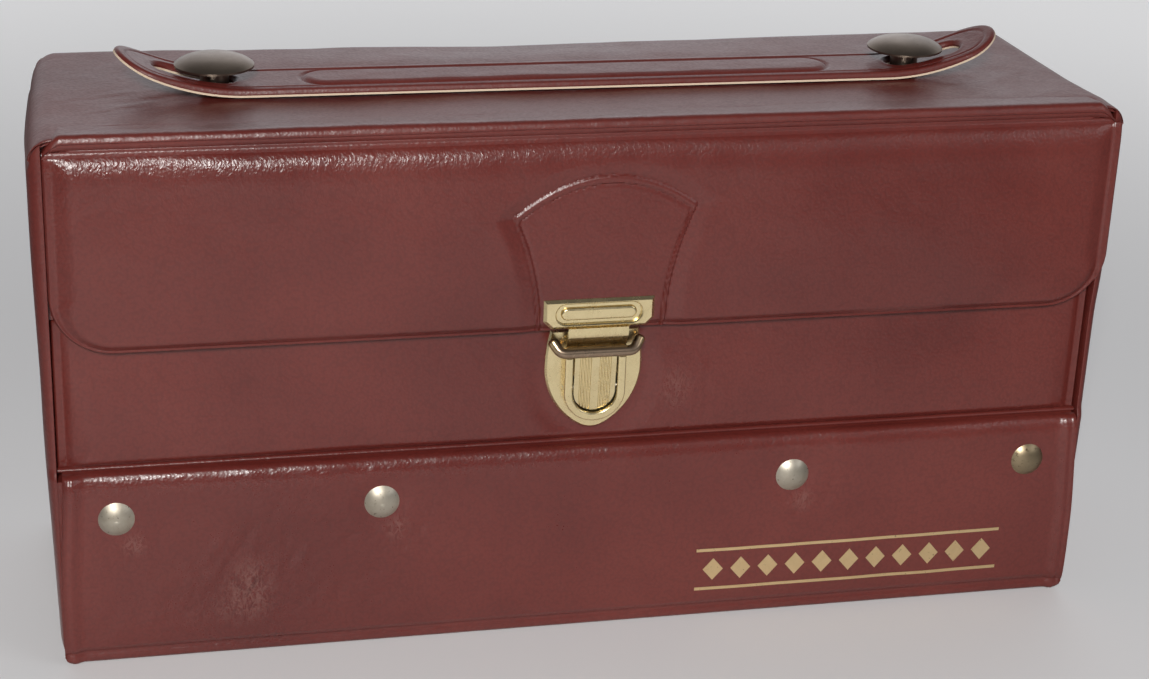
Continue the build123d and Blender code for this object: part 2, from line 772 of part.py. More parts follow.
# The shield-shaped plate: easy shoulders, two swept sides and a round tip, all tangent.
flank_fall = shield_shoulder - shield_low
flank_radius = (shield_half**2 + (flank_fall - shield_tip) ** 2 - shield_tip**2) / (
    2 * (shield_half - shield_tip)
)
flank_turn = degrees(acos((flank_radius - shield_half) / (flank_radius - shield_tip)))
with BuildPart() as shield_plate:
    with BuildSketch(facing_front(drop_face)):
        with BuildLine():
            left_flank = JernArc(
                (shield_half, shield_shoulder), (0, -1), flank_radius, -flank_turn
            )
            tip = JernArc(left_flank @ 1, left_flank % 1, shield_tip, -2 * (90 - flank_turn))
            right_flank = JernArc(tip @ 1, tip % 1, flank_radius, -flank_turn)
            TangentArc(right_flank @ 1, (-shield_top_half, shield_top), tangent=(0, 1))
            Line((-shield_top_half, shield_top), (shield_top_half, shield_top))
            TangentArc(left_flank @ 0, (shield_top_half, shield_top), tangent=(0, 1))
        make_face()
    extrude(amount=shield_thick)
    chamfer(shield_plate.faces().sort_by(Axis.Y)[0].edges(), shield_bevel)
    with BuildSketch(facing_front(drop_face)):
        with Locations((0, (shield_low + shield_top) / 2)):
            Rectangle(2 * shield_half, shield_top - shield_low)
        window_outline()
    extrude(amount=shield_thick, mode=Mode.INTERSECT)
shield_plate.part.label = "shield_plate"
export_step(shield_plate.part, "parts/shield_plate.step")

# The raised U-shaped frame round the lever, pierced for the pivot pin.
frame_face = drop_face - shield_thick
frame_straight = frame_low + frame_half
pivot_depth = drop_face - pivot_out
with BuildPart() as lock_frame:
    with BuildSketch(facing_front(frame_face)):
        for half, mode in ((frame_half, Mode.ADD), (frame_bore, Mode.SUBTRACT)):
            with Locations((0, (frame_straight + frame_top) / 2)):
                Rectangle(2 * half, frame_top - frame_straight, mode=mode)
            with Locations((0, frame_straight)):
                Circle(half, mode=mode)
    extrude(amount=frame_rise)
    fillet(lock_frame.faces().sort_by(Axis.Y)[0].edges(), frame_rim)
    with BuildSketch(Plane.YZ.offset(-frame_half)):
        with Locations((pivot_depth, pivot_height)):
            Circle(pivot_radius)
    extrude(amount=2 * frame_half, mode=Mode.SUBTRACT)
lock_frame.part.label = "lock_frame"
export_step(lock_frame.part, "parts/lock_frame.step")

with BuildPart() as pivot_pin:
    with BuildSketch(Plane.YZ.offset(-frame_half)):
        with Locations((pivot_depth, pivot_height)):
            Circle(pivot_radius)
    extrude(amount=2 * frame_half)
pivot_pin.part.label = "pivot_pin"
export_step(pivot_pin.part, "parts/pivot_pin.step")

with BuildPart() as lock_backing:
    with BuildSketch(facing_front(drop_inner)):
        with Locations((0, (backing_low + shield_top) / 2)):
            Rectangle(2 * shield_half, shield_top - backing_low)
        with Locations(*shield_rivet_places):
            Circle(lock_rivet / 2, mode=Mode.SUBTRACT)
    extrude(amount=lining_thickness)
lock_backing.part.label = "lock_backing"
export_step(lock_backing.part, "parts/lock_backing.step")

with BuildPart() as lock_rivets:
    with BuildSketch(facing_front(drop_inner)):
        with Locations(*shield_rivet_places):
            Circle(lock_rivet / 2)
    extrude(amount=drop_thick)
    with BuildSketch(facing_front(drop_inner + lining_thickness)):
        with Locations(*shield_rivet_places):
            Circle(lock_rivet)
    extrude(amount=lining_thickness)
lock_rivets.part.label = "lock_rivets"
export_step(lock_rivets.part, "parts/lock_rivets.step")

# ---- lock: rocking lever with its stirrup --------------------------------------------------
# The lever fills the frame, leans out at its head and rocks on the pin through its knuckle.
lever_half = frame_bore - lever_gap
lever_foot = window_foot + lever_gap
with BuildPart() as lever:
    with BuildSketch(Plane.YZ.offset(-lever_half)):
        with BuildLine():
            Polyline(
                (drop_face - lever_head_out, lever_top),
                (drop_face - lever_foot_out, lever_foot),
                (drop_face - lever_foot_out + lever_thick, lever_foot),
                (drop_face - lever_head_out + lever_thick, lever_top),
                close=True,
            )
        make_face()
        with Locations((pivot_depth, pivot_height)):
            Circle(knuckle_radius)
    extrude(amount=2 * lever_half)
    with BuildSketch(facing_front(drop_face)):
        with Locations((0, (lever_top + lever_foot + lever_half) / 2)):
            Rectangle(2 * lever_half, lever_top - lever_foot - lever_half)
        with Locations((0, lever_foot + lever_half)):
            Circle(lever_half)
    extrude(amount=lever_head_out + knuckle_radius, mode=Mode.INTERSECT)
    with BuildSketch(Plane.YZ.offset(-lever_half)):
        with Locations((pivot_depth, pivot_height)):
            Circle(pivot_radius + pin_gap)
    extrude(amount=2 * lever_half, mode=Mode.SUBTRACT)
    # two groups of fine flutes run down the face
    lean = Vector(0, lever_head_out - lever_foot_out, lever_foot - lever_top)
    for flute in range(lever_flutes):
        parting = flute_parting if flute >= lever_flutes / 2 else -flute_parting
        place = (flute - (lever_flutes - 1) / 2) * flute_pitch + parting / 2
        head = Vector(place, drop_face - lever_head_out, lever_top)
        with BuildSketch(Plane(origin=head, x_dir=(1, 0, 0), z_dir=lean)):
            Circle(flute_radius)
        extrude(amount=lean.length, mode=Mode.SUBTRACT)
lever.part.label = "lever"
export_step(lever.part, "parts/lever.step")

# The stirrup is a stout wire across the lever's head, its tips turned up and back.
with BuildPart() as stirrup:
    with BuildLine() as wire:
        FilletPolyline(
            (-stirrup_end, drop_face - stirrup_end_out, stirrup_end_height),
            (-stirrup_straight, drop_face - stirrup_out, stirrup_height),
            (stirrup_straight, drop_face - stirrup_out, stirrup_height),
            (stirrup_end, drop_face - stirrup_end_out, stirrup_end_height),
            radius=stirrup_bend,
        )
    with BuildSketch(Plane(origin=wire.line @ 0, z_dir=wire.line % 0)):
        Circle(stirrup_radius)
    sweep()
    for tip in (stirrup.faces().sort_by(Axis.X)[0], stirrup.faces().sort_by(Axis.X)[-1]):
        fillet(tip.edges(), stirrup_ball)
stirrup.part.label = "stirrup"
export_step(stirrup.part, "parts/stirrup.step")

# A bent leaf spring stands on the backing plate and bears on the back of the lever's foot.
spring_root = drop_lining_face - spring_thick / 2
spring_tip = drop_face - lever_foot_out + lever_thick + spring_thick
with BuildPart() as lever_spring:
    with BuildSketch(Plane.YZ.offset(-spring_width / 2)):
        with BuildLine():
            Polyline(
                (spring_root, window_head - spring_thick),
                (spring_root, pivot_height - knuckle_radius),
                (spring_tip, lever_foot + lever_half / 2),
            )
        trace(line_width=spring_thick)
    extrude(amount=spring_width)
lever_spring.part.label = "lever_spring"
export_step(lever_spring.part, "parts/lever_spring.step")
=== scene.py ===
"""Cassette tape case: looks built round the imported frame. Shapes are in millimetres until made a mesh."""
import json
import math

import bpy
import numpy as np
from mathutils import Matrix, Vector


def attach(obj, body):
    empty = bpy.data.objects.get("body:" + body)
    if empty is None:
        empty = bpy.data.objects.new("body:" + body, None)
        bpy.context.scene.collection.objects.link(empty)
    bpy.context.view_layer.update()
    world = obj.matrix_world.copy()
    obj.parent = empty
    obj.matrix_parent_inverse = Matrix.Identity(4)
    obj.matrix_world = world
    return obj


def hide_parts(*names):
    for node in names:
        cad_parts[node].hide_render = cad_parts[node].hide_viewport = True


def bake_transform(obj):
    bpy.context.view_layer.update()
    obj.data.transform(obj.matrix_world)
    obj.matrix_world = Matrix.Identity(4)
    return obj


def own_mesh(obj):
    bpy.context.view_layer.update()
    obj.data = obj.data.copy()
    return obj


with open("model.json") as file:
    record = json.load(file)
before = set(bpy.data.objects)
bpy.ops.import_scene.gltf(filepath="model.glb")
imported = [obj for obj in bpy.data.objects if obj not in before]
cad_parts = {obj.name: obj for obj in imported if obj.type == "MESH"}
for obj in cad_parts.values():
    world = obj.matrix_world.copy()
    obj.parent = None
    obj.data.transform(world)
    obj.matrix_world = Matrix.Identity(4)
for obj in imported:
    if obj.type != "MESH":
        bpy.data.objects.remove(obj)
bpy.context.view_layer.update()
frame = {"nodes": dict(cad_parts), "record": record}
MM = 0.001
NODES = frame["nodes"]

# ---- sizes taken over from the frame, in millimetres ----
HALF = 142.0
FRONT, BACK = -43.75, 43.75
FLAP_HALF, FLAP_LOW, FLAP_TOP, FLAP_CORNER = 141.7, 88.75, 141.6, 16.0
FLAP_SHEET_BACK = -42.15
FLAP_LINING = -40.76
DROP_LOW, DROP_TOP, DROP_SHEET_BACK, DROP_LINING = 55.6, 97.5, -38.15, -37.16
BAND_TOP, LEDGE, BAND_TAPER, RIVET_SEAT = 55.3, -39.75, 1.5, -43.76
RIVETS = [(-127.2, 42.6), (-57.4, 42.6), (57.4, 42.6), (127.2, 42.6)]
STUD_X, STRAP_LOW = 96.0, 145.7


# ---- small maths ----
def smooth(x, lo, hi):
    t = np.clip((x - lo) / (hi - lo), 0.0, 1.0)
    return t * t * (3 - 2 * t)


def bump(x, centre, width):
    return np.exp(-(((x - centre) / width) ** 2))


def soft_min(a, b, k):
    h = np.clip(0.5 + 0.5 * (b - a) / k, 0, 1)
    return b * (1 - h) + a * h - k * h * (1 - h)


def rim_up(edge, reach):
    """0 at a sheet's rim, rising to 1 within a few times reach."""
    return 1 - np.exp(-np.maximum(edge, 0) / reach)


def waves(seed, length, count=22):
    """A smooth random field, about -1 to 1, whose features are `length` across."""
    rng = np.random.default_rng(seed)
    turn = rng.uniform(0, 2 * math.pi, count)
    k = 2 * math.pi / length * rng.uniform(0.6, 1.5, count)
    phase = rng.uniform(0, 2 * math.pi, count)

    def field(u, v):
        total = 0.0
        for t, kk, p in zip(turn, k, phase):
            total += np.sin(kk * (math.cos(t) * u + math.sin(t) * v) + p)
        return total / math.sqrt(count)

    return field


def creases(u, v, lines):
    """Sum of soft folds: (u, v, turn in degrees, length, width, height, bow)."""
    total = np.zeros(np.broadcast(u, v).shape)
    for u0, v0, turn, length, width, height, bow in lines:
        c, s = math.cos(math.radians(turn)), math.sin(math.radians(turn))
        along = (u - u0) * c + (v - v0) * s
        across = (v - v0) * c - (u - u0) * s - bow * (along / length) ** 2
        total += height * np.exp(-((across / width) ** 2) - (2 * along / length) ** 4)
    return total


def crease_patch(seed, u0, v0, spread_u, spread_v, turn, count, length, width, height):
    """A patch of small folds round a point, all roughly one way."""
    rng = np.random.default_rng(seed)
    return [
        (
            u0 + rng.normal() * spread_u,
            v0 + rng.normal() * spread_v,
            turn + rng.normal() * 14,
            length * rng.uniform(0.6, 1.5),
            width * rng.uniform(0.7, 1.3),
            height * rng.uniform(-1, 1),
            rng.uniform(-0.15, 0.15) * length,
        )
        for _ in range(count)
    ]


def patches(*rows):
    """Several patches of folds, each from its own seed."""
    return [line for row in rows for line in crease_patch(*row)]


def stations(*spans):
    """Grid positions from spans of (start, end, step); the last point closes the row."""
    out = []
    for lo, hi, step in spans:
        n = max(1, int(round(abs(hi - lo) / step)))
        out += list(np.linspace(lo, hi, n, endpoint=False))
    out.append(spans[-1][1])
    return np.array(out)


def counted(*spans):
    """Positions from spans of (start, end, count); only the last span holds its end."""
    last = len(spans) - 1
    return np.concatenate([np.linspace(lo, hi, n, endpoint=k == last) for k, (lo, hi, n) in enumerate(spans)])


# ---- meshes ----
def enclosed(mesh):
    """The mesh's volume, negative where its faces look inward."""
    centres, normals, areas = (np.empty(len(mesh.polygons) * n) for n in (3, 3, 1))
    mesh.polygons.foreach_get("center", centres)
    mesh.polygons.foreach_get("normal", normals)
    mesh.polygons.foreach_get("area", areas)
    return ((centres * normals).reshape(-1, 3).sum(1) * areas).sum() / 3


def make_object(name, verts, faces, material, smooth_angle=40.0, worn=None, fold=None):
    """worn and fold, one number per vertex, say how glossy and how creased the vinyl is there; fold also sets
    where its wrinkle crests get a painted highlight.
    """
    mesh = bpy.data.meshes.new(name)
    mesh.from_pydata([tuple(MM * c for c in p) for p in verts], [], faces)
    mesh.update()
    if enclosed(mesh) < 0:
        mesh.flip_normals()
    for label, values in (("worn", worn), ("fold", fold)):
        if values is not None:
            data = mesh.attributes.new(label, "FLOAT", "POINT").data
            data.foreach_set("value", values.astype(np.float32))
    obj = bpy.data.objects.new(name, mesh)
    bpy.context.scene.collection.objects.link(obj)
    mesh.materials.append(material)
    for polygon in mesh.polygons:
        polygon.use_smooth = True
    mesh.set_sharp_from_angle(angle=math.radians(smooth_angle))
    return obj


WORN_MOST, FOLD_MOST = 1.0, 1.6


def per_vertex(values, shape, most):
    """A grid of numbers as one number for each vertex of both skins."""
    if values is None:
        return None
    return np.clip(np.tile(np.broadcast_to(values, shape).ravel(), 2), 0, most)


def shell(name, front, back, material, opening=None, worn=None, fold=None):
    """A closed skin between two equal grids of points, (rows, columns, 3).

    opening marks the squares left out; worn and fold are grids for the vinyl's wear and creases, and fold
    also sets its painted crest highlight.
    """
    rows, cols = front.shape[:2]
    count = rows * cols
    verts = np.concatenate([front.reshape(-1, 3), back.reshape(-1, 3)])
    faces = []
    solid = np.zeros((rows + 1, cols + 1), bool)
    solid[1:-1, 1:-1] = True if opening is None else ~opening
    for i in range(rows):
        for j in range(cols):
            a = i * cols + j
            b, d = a + 1, a + cols
            here = solid[i + 1, j + 1]
            if here:
                faces.append((a, b, d + 1, d))
                faces.append((count + a, count + d, count + d + 1, count + b))
            for beside, rim in ((solid[i, j + 1], (b, a, count + a, count + b)),
                                (solid[i + 1, j], (a, d, count + d, count + a))):
                if here != beside:
                    faces.append(rim if here else rim[::-1])
    worn = per_vertex(worn, (rows, cols), WORN_MOST)
    fold = per_vertex(fold, (rows, cols), FOLD_MOST)
    return make_object(name, verts.tolist(), faces, material, worn=worn, fold=fold)


def along_path(points, ticks):
    """A smooth line by the section points, at the given shares of its length.

    Gives its points, its normals, its whole length and each point's distance along it.
    """
    pts = np.array(points, float)
    for _ in range(4):
        new = [pts[0]]
        for a, b in zip(pts[:-1], pts[1:]):
            new += [a * 0.75 + b * 0.25, a * 0.25 + b * 0.75]
        new.append(pts[-1])
        pts = np.array(new)
    step = np.r_[0, np.cumsum(np.linalg.norm(np.diff(pts, axis=0), axis=1))]
    at = np.asarray(ticks) * step[-1]

    def point(where):
        return np.stack([np.interp(where, step, pts[:, k]) for k in range(2)], 1)

    near = 0.15
    tangent = point(np.minimum(at + near, step[-1])) - point(np.maximum(at - near, 0))
    tangent /= np.linalg.norm(tangent, axis=1)[:, None]
    normal = np.stack([-tangent[:, 1], tangent[:, 0]], 1)
    return point(at), normal, step[-1], at


# ---- materials ----
def new_material(name):
    mat = bpy.data.materials.new(name)
    mat.use_nodes = True
    tree = mat.node_tree
    return mat, tree, tree.nodes["Principled BSDF"]


def feed(made, inputs):
    """Sets a node's inputs, or links them where a value is another node's output."""
    for key, value in inputs.items():
        socket = made.inputs[key]
        if isinstance(value, bpy.types.NodeSocket):
            made.id_data.links.new(value, socket)
        else:
            socket.default_value = value


def node(tree, kind, inputs, **settings):
    made = tree.nodes.new(kind)
    for key, value in settings.items():
        setattr(made, key, value)
    feed(made, inputs)
    return made


def coords(tree, kind="Object"):
    return node(tree, "ShaderNodeTexCoord", {}).outputs[kind]


def camera_ray(tree):
    """1 where the camera looks straight at it, 0 in reflections."""
    return node(tree, "ShaderNodeLightPath", {}).outputs["Is Camera Ray"]


def mesh_value(tree, name):
    return node(tree, "ShaderNodeAttribute", {}, attribute_name=name).outputs["Fac"]


def noise_node(tree, at, scale, detail=2.0, rough=0.5, distort=0.0):
    return node(tree, "ShaderNodeTexNoise", {"Vector": at, "Scale": scale, "Detail": detail,
                                             "Roughness": rough, "Distortion": distort})


def noise_of(*settings):
    return noise_node(*settings).outputs["Fac"]


def ramp(tree, fac, stops):
    made = node(tree, "ShaderNodeValToRGB", {"Fac": fac})
    elements = made.color_ramp.elements
    while len(elements) < len(stops):
        elements.new(0.5)
    for element, (place, colour) in zip(elements, stops):
        element.position = place
        element.color = (*colour, 1.0)
    return made.outputs["Color"]


def mix(tree, fac, a, b, kind="MIX"):
    values = {0: fac, 6: a, 7: b}
    values = {key: (*value, 1.0) if isinstance(value, tuple) else value for key, value in values.items()}
    return node(tree, "ShaderNodeMix", values, data_type="RGBA", blend_type=kind).outputs[2]


def span(tree, value, lo, hi, start=0.0, end=1.0, **settings):
    """Maps start..end to lo..hi."""
    limits = {"Value": value, "From Min": start, "From Max": end, "To Min": lo, "To Max": hi}
    return node(tree, "ShaderNodeMapRange", limits, **settings).outputs["Result"]


def maths(tree, kind, a, b=0.0):
    return node(tree, "ShaderNodeMath", {0: a, 1: b}, operation=kind).outputs[0]


def bump_of(tree, height, distance, strength=1.0, under=None):
    """A bumped normal; distance is in metres."""
    made = node(tree, "ShaderNodeBump", {"Height": height, "Distance": distance, "Strength": strength})
    if under is not None:
        feed(made, {"Normal": under})
    return made.outputs["Normal"]


BLACK, WHITE = (0.0, 0.0, 0.0), (1.0, 1.0, 1.0)
OXBLOOD, DEEP, WARM = (0.117, 0.0182, 0.0138), (0.090, 0.0128, 0.0100), (0.140, 0.0240, 0.0178)
# CREST_HIGHLIGHT is the pale colour of a painted highlight on wrinkle crests
CREST_HIGHLIGHT, SEAM, GRIME = (0.235, 0.115, 0.095), (0.70, 0.66, 0.66), (0.05, 0.035, 0.02)


def vinyl(name, grain=0.85, depth=0.045, rough=(0.24, 0.38)):
    """Grained vinyl leathercloth with pebbles `grain` mm across and `depth` mm deep.

    It is glossier where the mesh is worn, and wrinkled where it is folded, with a painted highlight of pale
    streaks on the wrinkle crests where it is folded most.
    """
    mat, tree, shader = new_material(name)
    at = coords(tree)
    worn, fold = mesh_value(tree, "worn"), mesh_value(tree, "fold")
    drift = noise_node(tree, at, 420.0, 1.0).outputs["Color"]
    wander = node(tree, "ShaderNodeVectorMath", {0: drift, 1: (0.0006,) * 3}, operation="MULTIPLY")
    moved = node(tree, "ShaderNodeVectorMath", {0: at, 1: wander.outputs[0]}, operation="ADD")
    cells = node(tree, "ShaderNodeTexVoronoi", {"Vector": moved.outputs[0], "Scale": 1000.0 / grain,
                                                "Smoothness": 0.75}, feature="SMOOTH_F1")
    pebble = span(tree, cells.outputs["Distance"], 0.0, 1.0, 0.75, 0.1)
    fine = noise_of(tree, at, 2600.0, 2.0, 0.6)
    soft = noise_of(tree, at, 130.0, 3.0, 0.55, 0.6)
    broad = noise_of(tree, at, 14.0, 4.0, 0.55, 0.3)
    blotch = noise_of(tree, at, 60.0, 3.0, 0.6, 0.5)
    tone = ramp(tree, broad, [(0.32, DEEP), (0.50, OXBLOOD), (0.70, WARM)])
    tone = mix(tree, span(tree, blotch, 0.0, 0.4), tone, DEEP)
    tone = mix(tree, 0.5, tone, ramp(tree, pebble, [(0.05, SEAM), (0.6, WHITE)]), "MULTIPLY")
    drawn = node(tree, "ShaderNodeMapping", {"Vector": at, "Rotation": (0.0, -0.75, 0.0),
                                             "Scale": (1.0, 0.7, 0.5)})
    wrinkle = noise_of(tree, drawn.outputs["Vector"], 640.0, 2.0, 0.6, 0.8)
    ridged = maths(tree, "ABSOLUTE", maths(tree, "SUBTRACT", wrinkle, 0.5))
    crest = ramp(tree, ridged, [(0.0, WHITE), (0.10, BLACK)])
    # painted highlight: pale streaks on the wrinkle crests, where fold is above 0.7
    crest_highlight_amount = span(tree, fold, 0.0, 0.40, 0.7, FOLD_MOST)
    tone = mix(tree, maths(tree, "MULTIPLY", crest, crest_highlight_amount), tone, CREST_HIGHLIGHT)
    wear = maths(tree, "ADD", span(tree, soft, -0.04, 0.04), span(tree, broad, *rough))
    wear = maths(tree, "ADD", wear, span(tree, pebble, 0.06, 0.0))
    wear = maths(tree, "SUBTRACT", wear, span(tree, worn, 0.0, 0.05))
    normal = bump_of(tree, soft, 0.0006, 0.30)
    normal = bump_of(tree, maths(tree, "MULTIPLY", ridged, fold), 0.0020, 0.22, normal)
    lively = maths(tree, "ADD", 1.0, maths(tree, "MULTIPLY", worn, 0.35))
    normal = bump_of(tree, maths(tree, "MULTIPLY", pebble, lively), depth * MM, 0.8, normal)
    normal = bump_of(tree, fine, 0.00003, 0.5, normal)
    feed(shader, {"Base Color": tone, "Roughness": wear, "IOR": 1.5, "Normal": normal})
    return mat


def metal(name, bright, dull, rough, dirt_at=0.62):
    """Plated metal: smudged polish, fine scratches and grime where the plating has worn."""
    mat, tree, shader = new_material(name)
    at = coords(tree)
    smudge = noise_of(tree, at, 240.0, 4.0, 0.6, 0.4)
    spots = noise_of(tree, at, 900.0, 3.0, 0.65)
    grime = ramp(tree, spots, [(dirt_at, BLACK), (dirt_at + 0.12, WHITE)])
    tone = mix(tree, grime, mix(tree, smudge, bright, dull), GRIME)
    wear = maths(tree, "ADD", span(tree, smudge, *rough), span(tree, spots, 0.0, 0.08))
    stretched = node(tree, "ShaderNodeMapping", {"Vector": at, "Scale": (1.0, 1.0, 0.06)})
    lines = noise_of(tree, stretched.outputs["Vector"], 5200.0, 2.0, 0.7)
    normal = bump_of(tree, lines, 0.00001, 0.5)
    normal = bump_of(tree, smudge, 0.00006, 0.3, normal)
    feed(shader, {"Base Color": tone, "Metallic": 1.0, "Roughness": wear, "Normal": normal})
    return mat


def plain(name, colour, dark, rough, scale, distance, sheen=0.0):
    """A mottled surface with a fine tooth: board, foam, flock, moulded plastic."""
    mat, tree, shader = new_material(name)
    at = coords(tree)
    mottle = noise_of(tree, at, scale * 0.15, 4.0, 0.6)
    tooth = noise_of(tree, at, scale, 3.0, 0.65)
    feed(shader, {"Base Color": mix(tree, mottle, colour, dark), "Sheen Weight": sheen,
                  "Roughness": span(tree, tooth, rough - 0.08, rough + 0.08),
                  "Normal": bump_of(tree, tooth, distance, 0.5)})
    return mat


def woven(name, colour, dark, pitch):
    """A plain weave of the given thread pitch in millimetres."""
    mat, tree, shader = new_material(name)
    at = coords(tree)
    threads = []
    for axis in ("X", "Y"):
        wave = node(tree, "ShaderNodeTexWave", {"Vector": at, "Scale": 0.5 / (pitch * MM)},
                    wave_type="BANDS", bands_direction=axis)
        threads.append(wave.outputs["Fac"])
    weave = maths(tree, "MAXIMUM", *threads)
    feed(shader, {"Base Color": mix(tree, weave, dark, colour), "Roughness": 0.85,
                  "Normal": bump_of(tree, weave, 0.0001, 0.6)})
    return mat


MAT_FRONT = vinyl("vinyl_front")
MAT_TOP = vinyl("vinyl_top", depth=0.032, rough=(0.28, 0.42))
MAT_EDGE = vinyl("vinyl_band", grain=0.9, rough=(0.24, 0.34))
MAT_STRAP = vinyl("vinyl_strap", grain=0.8, depth=0.03, rough=(0.28, 0.40))
MAT_GOLD = metal("lock_plate_gold", (0.78, 0.655, 0.39), (0.62, 0.50, 0.275), (0.14, 0.30), dirt_at=0.74)
MAT_ROD = metal("stirrup_worn", (0.36, 0.27, 0.19), (0.20, 0.14, 0.10), (0.18, 0.32), dirt_at=0.66)
MAT_HEAD = metal("antique_brass", (0.262, 0.212, 0.170), (0.185, 0.144, 0.112), (0.22, 0.34), dirt_at=0.68)
MAT_NICKEL = metal("nickel", (0.50, 0.46, 0.39), (0.30, 0.26, 0.20), (0.34, 0.48))
MAT_TARNISH = metal("tarnished_brass", (0.34, 0.27, 0.17), (0.22, 0.17, 0.11), (0.28, 0.42), dirt_at=0.60)
MAT_STEEL = metal("zinc_steel", (0.55, 0.55, 0.55), (0.40, 0.40, 0.40), (0.25, 0.40))
MAT_PRINT = metal("gold_foil", (0.78, 0.60, 0.34), (0.62, 0.45, 0.24), (0.30, 0.46), dirt_at=0.64)
MAT_BOARD = plain("grey_board", (0.40, 0.36, 0.30), (0.30, 0.27, 0.22), 0.9, 1800.0, 0.00008)
MAT_FOAM = plain("foam", (0.72, 0.66, 0.50), (0.60, 0.54, 0.38), 0.95, 1500.0, 0.0002)
MAT_FLOCK = plain("flock_lining", (0.115, 0.030, 0.026), (0.075, 0.018, 0.016), 0.95, 2600.0, 0.00012, 0.4)
MAT_TRAY = plain("moulded_tray", (0.030, 0.029, 0.030), (0.020, 0.019, 0.020), 0.48, 900.0, 0.00004)
MAT_CREAM = woven("cream_backing", (0.66, 0.53, 0.40), (0.52, 0.38, 0.27), 0.5)

# the stirrups' bars are worn dark between their feet, which are painted lighter brass: a painted highlight
# where the bent ends catch the light. The feet start this far out, in metres
TIP_FROM, TIP_FULL, TIP_HIGHLIGHT_BRASS = 0.0108, 0.0124, (0.52, 0.40, 0.22)
tree = MAT_ROD.node_tree
rod = tree.nodes["Principled BSDF"]
along = node(tree, "ShaderNodeSeparateXYZ", {"Vector": coords(tree)})
# painted highlight: the bar turns lighter brass past TIP_FROM from its middle
foot = span(tree, maths(tree, "ABSOLUTE", along.outputs["X"]), 0.0, 1.0, TIP_FROM, TIP_FULL)
feed(rod, {"Base Color": mix(tree, foot, rod.inputs["Base Color"].links[0].from_socket, TIP_HIGHLIGHT_BRASS)})

SLOT_MATERIAL = {"board": MAT_BOARD, "foam": MAT_FOAM, "lining": MAT_FLOCK, "tray": MAT_TRAY,
                 "lock_brass": MAT_GOLD, "antique_brass": MAT_HEAD, "worn_rod": MAT_ROD, "nickel": MAT_NICKEL,
                 "brass": MAT_TARNISH, "steel": MAT_STEEL, "vinyl": MAT_FRONT, "strap_vinyl": MAT_STRAP,
                 "strap_backing": MAT_CREAM}
for part in frame["record"]["subparts"]:
    cad = NODES[part["node"]]
    cad.data.materials.clear()
    cad.data.materials.append(SLOT_MATERIAL[part["material_slot"]])

# ---- flap ----
# how far a sheet stands off its board, and how close to its rim it does so
SHEET_UP, RIM = 0.85, 0.22
ROLL, SIDE_MARGIN, EDGE_BEAD, FLAP_OVER = 2.2, 2.4, 1.0, 2.2
WELT_SIDE, WELT_TOP, FLAP_SWELL, SIDE_EASE = 1.0, 2.2, 0.75, 0.55
# the pressed fan: its foot's height, half its width there, and its crown
FAN_SHIFT, FAN_TILT, FAN_LOW, FAN_TALL, FAN_HALF, FAN_CROWN = 0.8, 0.045, 89.0, 33.0, 17.4, 132.4


def flap_low(x):
    over = np.clip(np.abs(x) - (FLAP_HALF - FLAP_CORNER), 0, FLAP_CORNER)
    return FLAP_LOW + FLAP_CORNER - np.sqrt(FLAP_CORNER**2 - over**2)


def fan_depths(x, z):
    """How far inside the pressed fan's outer and inner outlines a point lies. It sits a little askew."""
    x, z = x - FAN_SHIFT, z - FAN_TILT * x
    lift = np.clip(z - FAN_LOW, 0, 40) / FAN_TALL
    half = FAN_HALF + 0.6 * lift + 6.4 * lift**2.2
    side = (half - np.abs(x)) * 0.97
    crown = (FAN_CROWN - 9.4 * (x / 24.3) ** 2 - z) * 0.94
    return soft_min(side, crown, 0.8), soft_min(side - WELT_SIDE, crown - WELT_TOP, 1.0)


flap_soft, flap_fine = waves(11, 70.0), waves(12, 16.0)
flap_lines = patches(
    (31, -118, 131, 14, 3.0, 48, 34, 6.0, 0.8, 0.09),
    (32, -70, 134, 34, 2.6, 50, 44, 4.5, 0.7, 0.07),
    (33, 60, 135, 40, 2.2, 60, 30, 4.5, 0.7, 0.04),
)


